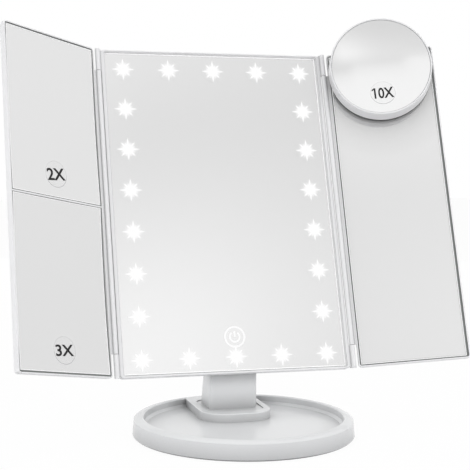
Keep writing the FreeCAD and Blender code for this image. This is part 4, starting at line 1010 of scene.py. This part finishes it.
def etched_windows(detail):
    """One flat disc over each lamp, on the glass, with its glow as a vertex attribute."""
    glass_y = node_box("main_mirror", HEAD)[0].y - FILM
    mesh = bmesh.new()
    glow = mesh.verts.layers.float.new("glow")
    for box in solid_boxes("leds", HEAD):
        centre = centre_of(box, glass_y)
        known = set(mesh.verts)
        spokes = [centre + Vector((detail.window_radius * index / WINDOW_RINGS, 0, 0))
                  for index in range(WINDOW_RINGS + 1)]
        spun(mesh, spokes, centre, (0, 1, 0), WINDOW_STEPS)
        for vertex in mesh.verts:
            if vertex not in known:
                offset = vertex.co - centre
                vertex[glow] = window_glow(offset.x, offset.z, detail)
    face_front(mesh)
    return mesh


def flat_ring(mesh, centre, radius, width, start, sweep, steps):
    """Flat ring or open ring round a centre; angles are measured from the top, clockwise."""
    first = Vector((math.sin(start), 0, math.cos(start)))
    ends = [centre + first * (radius - width / 2), centre + first * (radius + width / 2)]
    closed = sweep >= math.tau
    bmesh.ops.spin(mesh, geom=outline_of(mesh, ends), cent=centre, axis=(0, 1, 0),
                   dvec=(0, 0, 0), angle=sweep, steps=steps, use_merge=closed)


def key_sign(detail):
    """Sign of the touch key: a ring, an open ring in it and a bar through the opening."""
    glass_low = node_box("main_mirror", HEAD)[0]
    frame_low = node_box("front_frame", HEAD)[0]
    centre = Vector((0, glass_low.y - 2 * FILM, frame_low.z + detail.key_up))
    mesh = bmesh.new()
    flat_ring(mesh, centre, detail.key_ring, detail.key_line, 0, math.tau, RING_STEPS)
    flat_ring(mesh, centre, detail.key_arc, detail.key_line, KEY_OPENING,
              math.tau - 2 * KEY_OPENING, ARC_STEPS)
    bar = Vector((detail.key_line / 2, 0, 0))
    top = centre + Vector((0, 0, detail.key_arc + detail.key_line * KEY_BAR_TOP))
    outline = [centre - bar, top - bar, top + bar, centre + bar]
    mesh.faces.new([mesh.verts.new(point) for point in outline])
    face_front(mesh)
    return mesh


class VANITY_OT_lit_windows(bpy.types.Operator):
    """Etched star windows round the glass and the lit sign of the touch key"""
    bl_idname = "vanity.lit_windows"
    bl_label = "Lit windows"

    def execute(self, context):
        detail = context.scene.vanity_detail
        finish = context.scene.vanity_finish
        material = lit_window(finish)
        finish_piece("lamp_windows", etched_windows(detail), HEAD, "head", material)
        sign = key_sign(detail)
        glow = sign.verts.layers.float.new("glow")
        for vertex in sign.verts:
            vertex[glow] = KEY_GLOW
        finish_piece("touch_key_sign", sign, HEAD, "head", material)
        return {"FINISHED"}


# ---- signs and marks
# Flag of the figure 1: how far left of its stem and below its top, as shares of its height.
FLAG = ((0, 0), (0.24, 0.16), (0.24, 0.29), (0, 0.15))
WORD_SMOOTHNESS = 6
WORD_WEIGHT = 0.02        # thickens the strokes of every word
# Rings of a sticker as shares of its radius, and how much of it shows: its middle, its cut edge,
# and what the edge gains towards the bottom as a painted highlight.
STICKER_RINGS = (0, 0.25, 0.5, 0.75, 0.94, 0.965, 1.0)
STICKER_STEPS = 64
STICKER_CUT = 0.95        # beyond this share of its radius a sticker is cut edge
FILM_SHOWS, CUT_SHOWS, CUT_HIGHLIGHT_GAIN = 0.015, 0.1, 0.45
# Name, text, glass, size, shift sideways and height above the glass's lower edge, and tilt.
SIGNS = (("sign_2x", "2X", "left_mirror_2x", (16 * MM, 8.7 * MM), 0, 17 * MM, 8),
         ("sign_3x", "3X", "left_mirror_3x", (15.5 * MM, 7.9 * MM), 0, 16 * MM, 3),
         ("sign_10x", "10X", "spot_glass", (16.4 * MM, 9.1 * MM), -0.5 * MM, 17.2 * MM, 0))
# Text, width, place beside the switch, and whether it stands clear of the knob's travel.
SWITCH_MARKS = (("ON", 3.8 * MM, 4.9 * MM, 0), ("OFF", 5.2 * MM, -5.6 * MM, 1))
ARROW = ((-3.6 * MM, 0), (3.6 * MM, 0), (0, -4.6 * MM))
ARROW_DOWN = 19 * MM      # top of the battery door to the top of the arrow


def add_flag(mesh, stem, top, tall):
    """Slanted flag on the left of a figure 1, whose stem has none in this face."""
    mesh.faces.new([mesh.verts.new((stem - left * tall, top - down * tall, 0))
                    for left, down in FLAG])


def flat_text(text, width, height):
    """Mesh of a word, centred, of a given size, lying in the plane of x and z."""
    curve = bpy.data.curves.new("word", "FONT")
    curve.body = text
    curve.resolution_u = WORD_SMOOTHNESS
    curve.offset = WORD_WEIGHT
    word = put_in_scene("word", curve)
    bpy.context.view_layer.update()
    data = bpy.data.meshes.new_from_object(word)
    mesh = bmesh.new()
    mesh.from_mesh(data)
    bpy.data.objects.remove(word)
    bpy.data.curves.remove(curve)
    bpy.data.meshes.remove(data)
    low, high = local_box([vertex.co for vertex in mesh.verts])
    if text.startswith("1"):
        add_flag(mesh, low.x, high.y, high.y - low.y)
        low, high = local_box([vertex.co for vertex in mesh.verts])
    middle = (low + high) / 2
    bmesh.ops.translate(mesh, vec=-middle, verts=mesh.verts)
    bmesh.ops.scale(mesh, vec=(width / (high.x - low.x), height / (high.y - low.y), 1),
                    verts=mesh.verts)
    bmesh.ops.transform(mesh, matrix=Matrix.Rotation(math.pi / 2, 4, "X"), verts=mesh.verts)
    return mesh


def round_sticker(radius):
    """Thin clear disc; the attribute marks its cut edge."""
    mesh = bmesh.new()
    edge = mesh.verts.layers.float.new("edge")
    spun(mesh, [Vector((radius * share, 0, 0)) for share in STICKER_RINGS], (0, 0, 0),
         (0, 1, 0), STICKER_STEPS)
    for vertex in mesh.verts:
        cut = vertex.co.length > STICKER_CUT * radius
        # painted highlight: the cut edge shows more towards the bottom of the sticker
        lower = max(0, -vertex.co.z / radius)
        vertex[edge] = CUT_SHOWS + CUT_HIGHLIGHT_GAIN * lower if cut else FILM_SHOWS
    return mesh


def add_sign(context, name, text, node, size, aside, up, tilt):
    """A number on its clear sticker, laid on a glass."""
    finish = context.scene.vanity_finish
    frame, body, depth = mirror_faces(context)[node]
    low, high = node_box(node, frame)
    place = Matrix.Translation(((low.x + high.x) / 2 + aside, 0, low.z + up))
    spot = place @ Matrix.Rotation(-math.radians(tilt), 4, "Y")
    sticker = round_sticker(context.scene.vanity_detail.sticker)
    word = flat_text(text, *size)
    for mesh, lift in ((sticker, FILM), (word, 2 * FILM)):
        bmesh.ops.transform(mesh, matrix=spot, verts=mesh.verts)
        lay_on(mesh, depth, lift)
    finish_piece(name + "_sticker", sticker, frame, body, sticker_film(finish))
    finish_piece(name, word, frame, body, printed_ink(finish))


class VANITY_OT_signs(bpy.types.Operator):
    """Magnification numbers on clear stickers on the left mirrors and the spot mirror"""
    bl_idname = "vanity.signs"
    bl_label = "Signs"

    def execute(self, context):
        for sign in SIGNS:
            add_sign(context, *sign)
        return {"FINISHED"}


class VANITY_OT_rear_marks(bpy.types.Operator):
    """Raised ON and OFF beside the slide switch, and the arrow on the battery door"""
    bl_idname = "vanity.rear_marks"
    bl_label = "Rear marks"

    def execute(self, context):
        detail = context.scene.vanity_detail
        skin = textured_abs(context.scene.vanity_finish)
        low, high = node_box("switch_knob", HEAD_REAR)
        face_y = low.y + detail.knob_proud
        middle = (low + high) / 2
        throw = JOINTS["power_switch_slide"]["range_m"][1]
        for text, width, aside, past_travel in SWITCH_MARKS:
            along = aside - throw if past_travel else aside
            mark = flat_text(text, width, detail.mark_height)
            raised(mark, detail.mark_proud)
            bmesh.ops.translate(mark, vec=(middle.x + along, face_y, middle.z),
                                verts=mark.verts)
            finish_piece("switch_mark_" + text.lower(), mark, HEAD_REAR, "head", skin)
        low, high = node_box("battery_door", HEAD_REAR)
        arrow = bmesh.new()
        arrow.faces.new([arrow.verts.new((x, 0, z)) for x, z in ARROW])
        raised(arrow, detail.mark_proud)
        bmesh.ops.translate(arrow, vec=((low.x + high.x) / 2, face_y, high.z - ARROW_DOWN),
                            verts=arrow.verts)
        finish_piece("door_arrow", arrow, HEAD_REAR, "battery_door", skin)
        return {"FINISHED"}


# ---- add-on
SETTINGS = (StudioSettings, FinishSettings, DetailSettings)
OPERATORS = (VANITY_OT_stage, VANITY_OT_mouldings, VANITY_OT_metals, VANITY_OT_screws,
             VANITY_OT_electrics, VANITY_OT_mirrors, VANITY_OT_borders, VANITY_OT_lit_windows,
             VANITY_OT_signs, VANITY_OT_rear_marks)


class VANITY_PT_sidebar(bpy.types.Panel):
    """Lists the operators that dress the mirror, in order"""
    bl_idname = "VANITY_PT_sidebar"
    bl_label = "Vanity mirror"
    bl_space_type = "VIEW_3D"
    bl_region_type = "UI"
    bl_category = "Vanity mirror"

    def draw(self, context):
        for operator in OPERATORS:
            self.layout.operator(operator.bl_idname)


CLASSES = SETTINGS + OPERATORS + (VANITY_PT_sidebar,)


def register():
    for cls in CLASSES:
        bpy.utils.register_class(cls)
    bpy.types.Scene.vanity_studio = bpy.props.PointerProperty(type=StudioSettings)
    bpy.types.Scene.vanity_finish = bpy.props.PointerProperty(type=FinishSettings)
    bpy.types.Scene.vanity_detail = bpy.props.PointerProperty(type=DetailSettings)


def unregister():
    del bpy.types.Scene.vanity_detail
    del bpy.types.Scene.vanity_finish
    del bpy.types.Scene.vanity_studio
    for cls in reversed(CLASSES):
        bpy.utils.unregister_class(cls)


def main():
    register()
    bpy.context.scene.view_settings.view_transform = "Standard"
    bpy.ops.vanity.stage()
    bpy.ops.vanity.mouldings()
    bpy.ops.vanity.metals()
    bpy.ops.vanity.screws()
    bpy.ops.vanity.electrics()
    bpy.ops.vanity.mirrors()
    bpy.ops.vanity.borders()
    bpy.ops.vanity.lit_windows()
    bpy.ops.vanity.signs()
    bpy.ops.vanity.rear_marks()


if __name__ == "__main__":
    main()
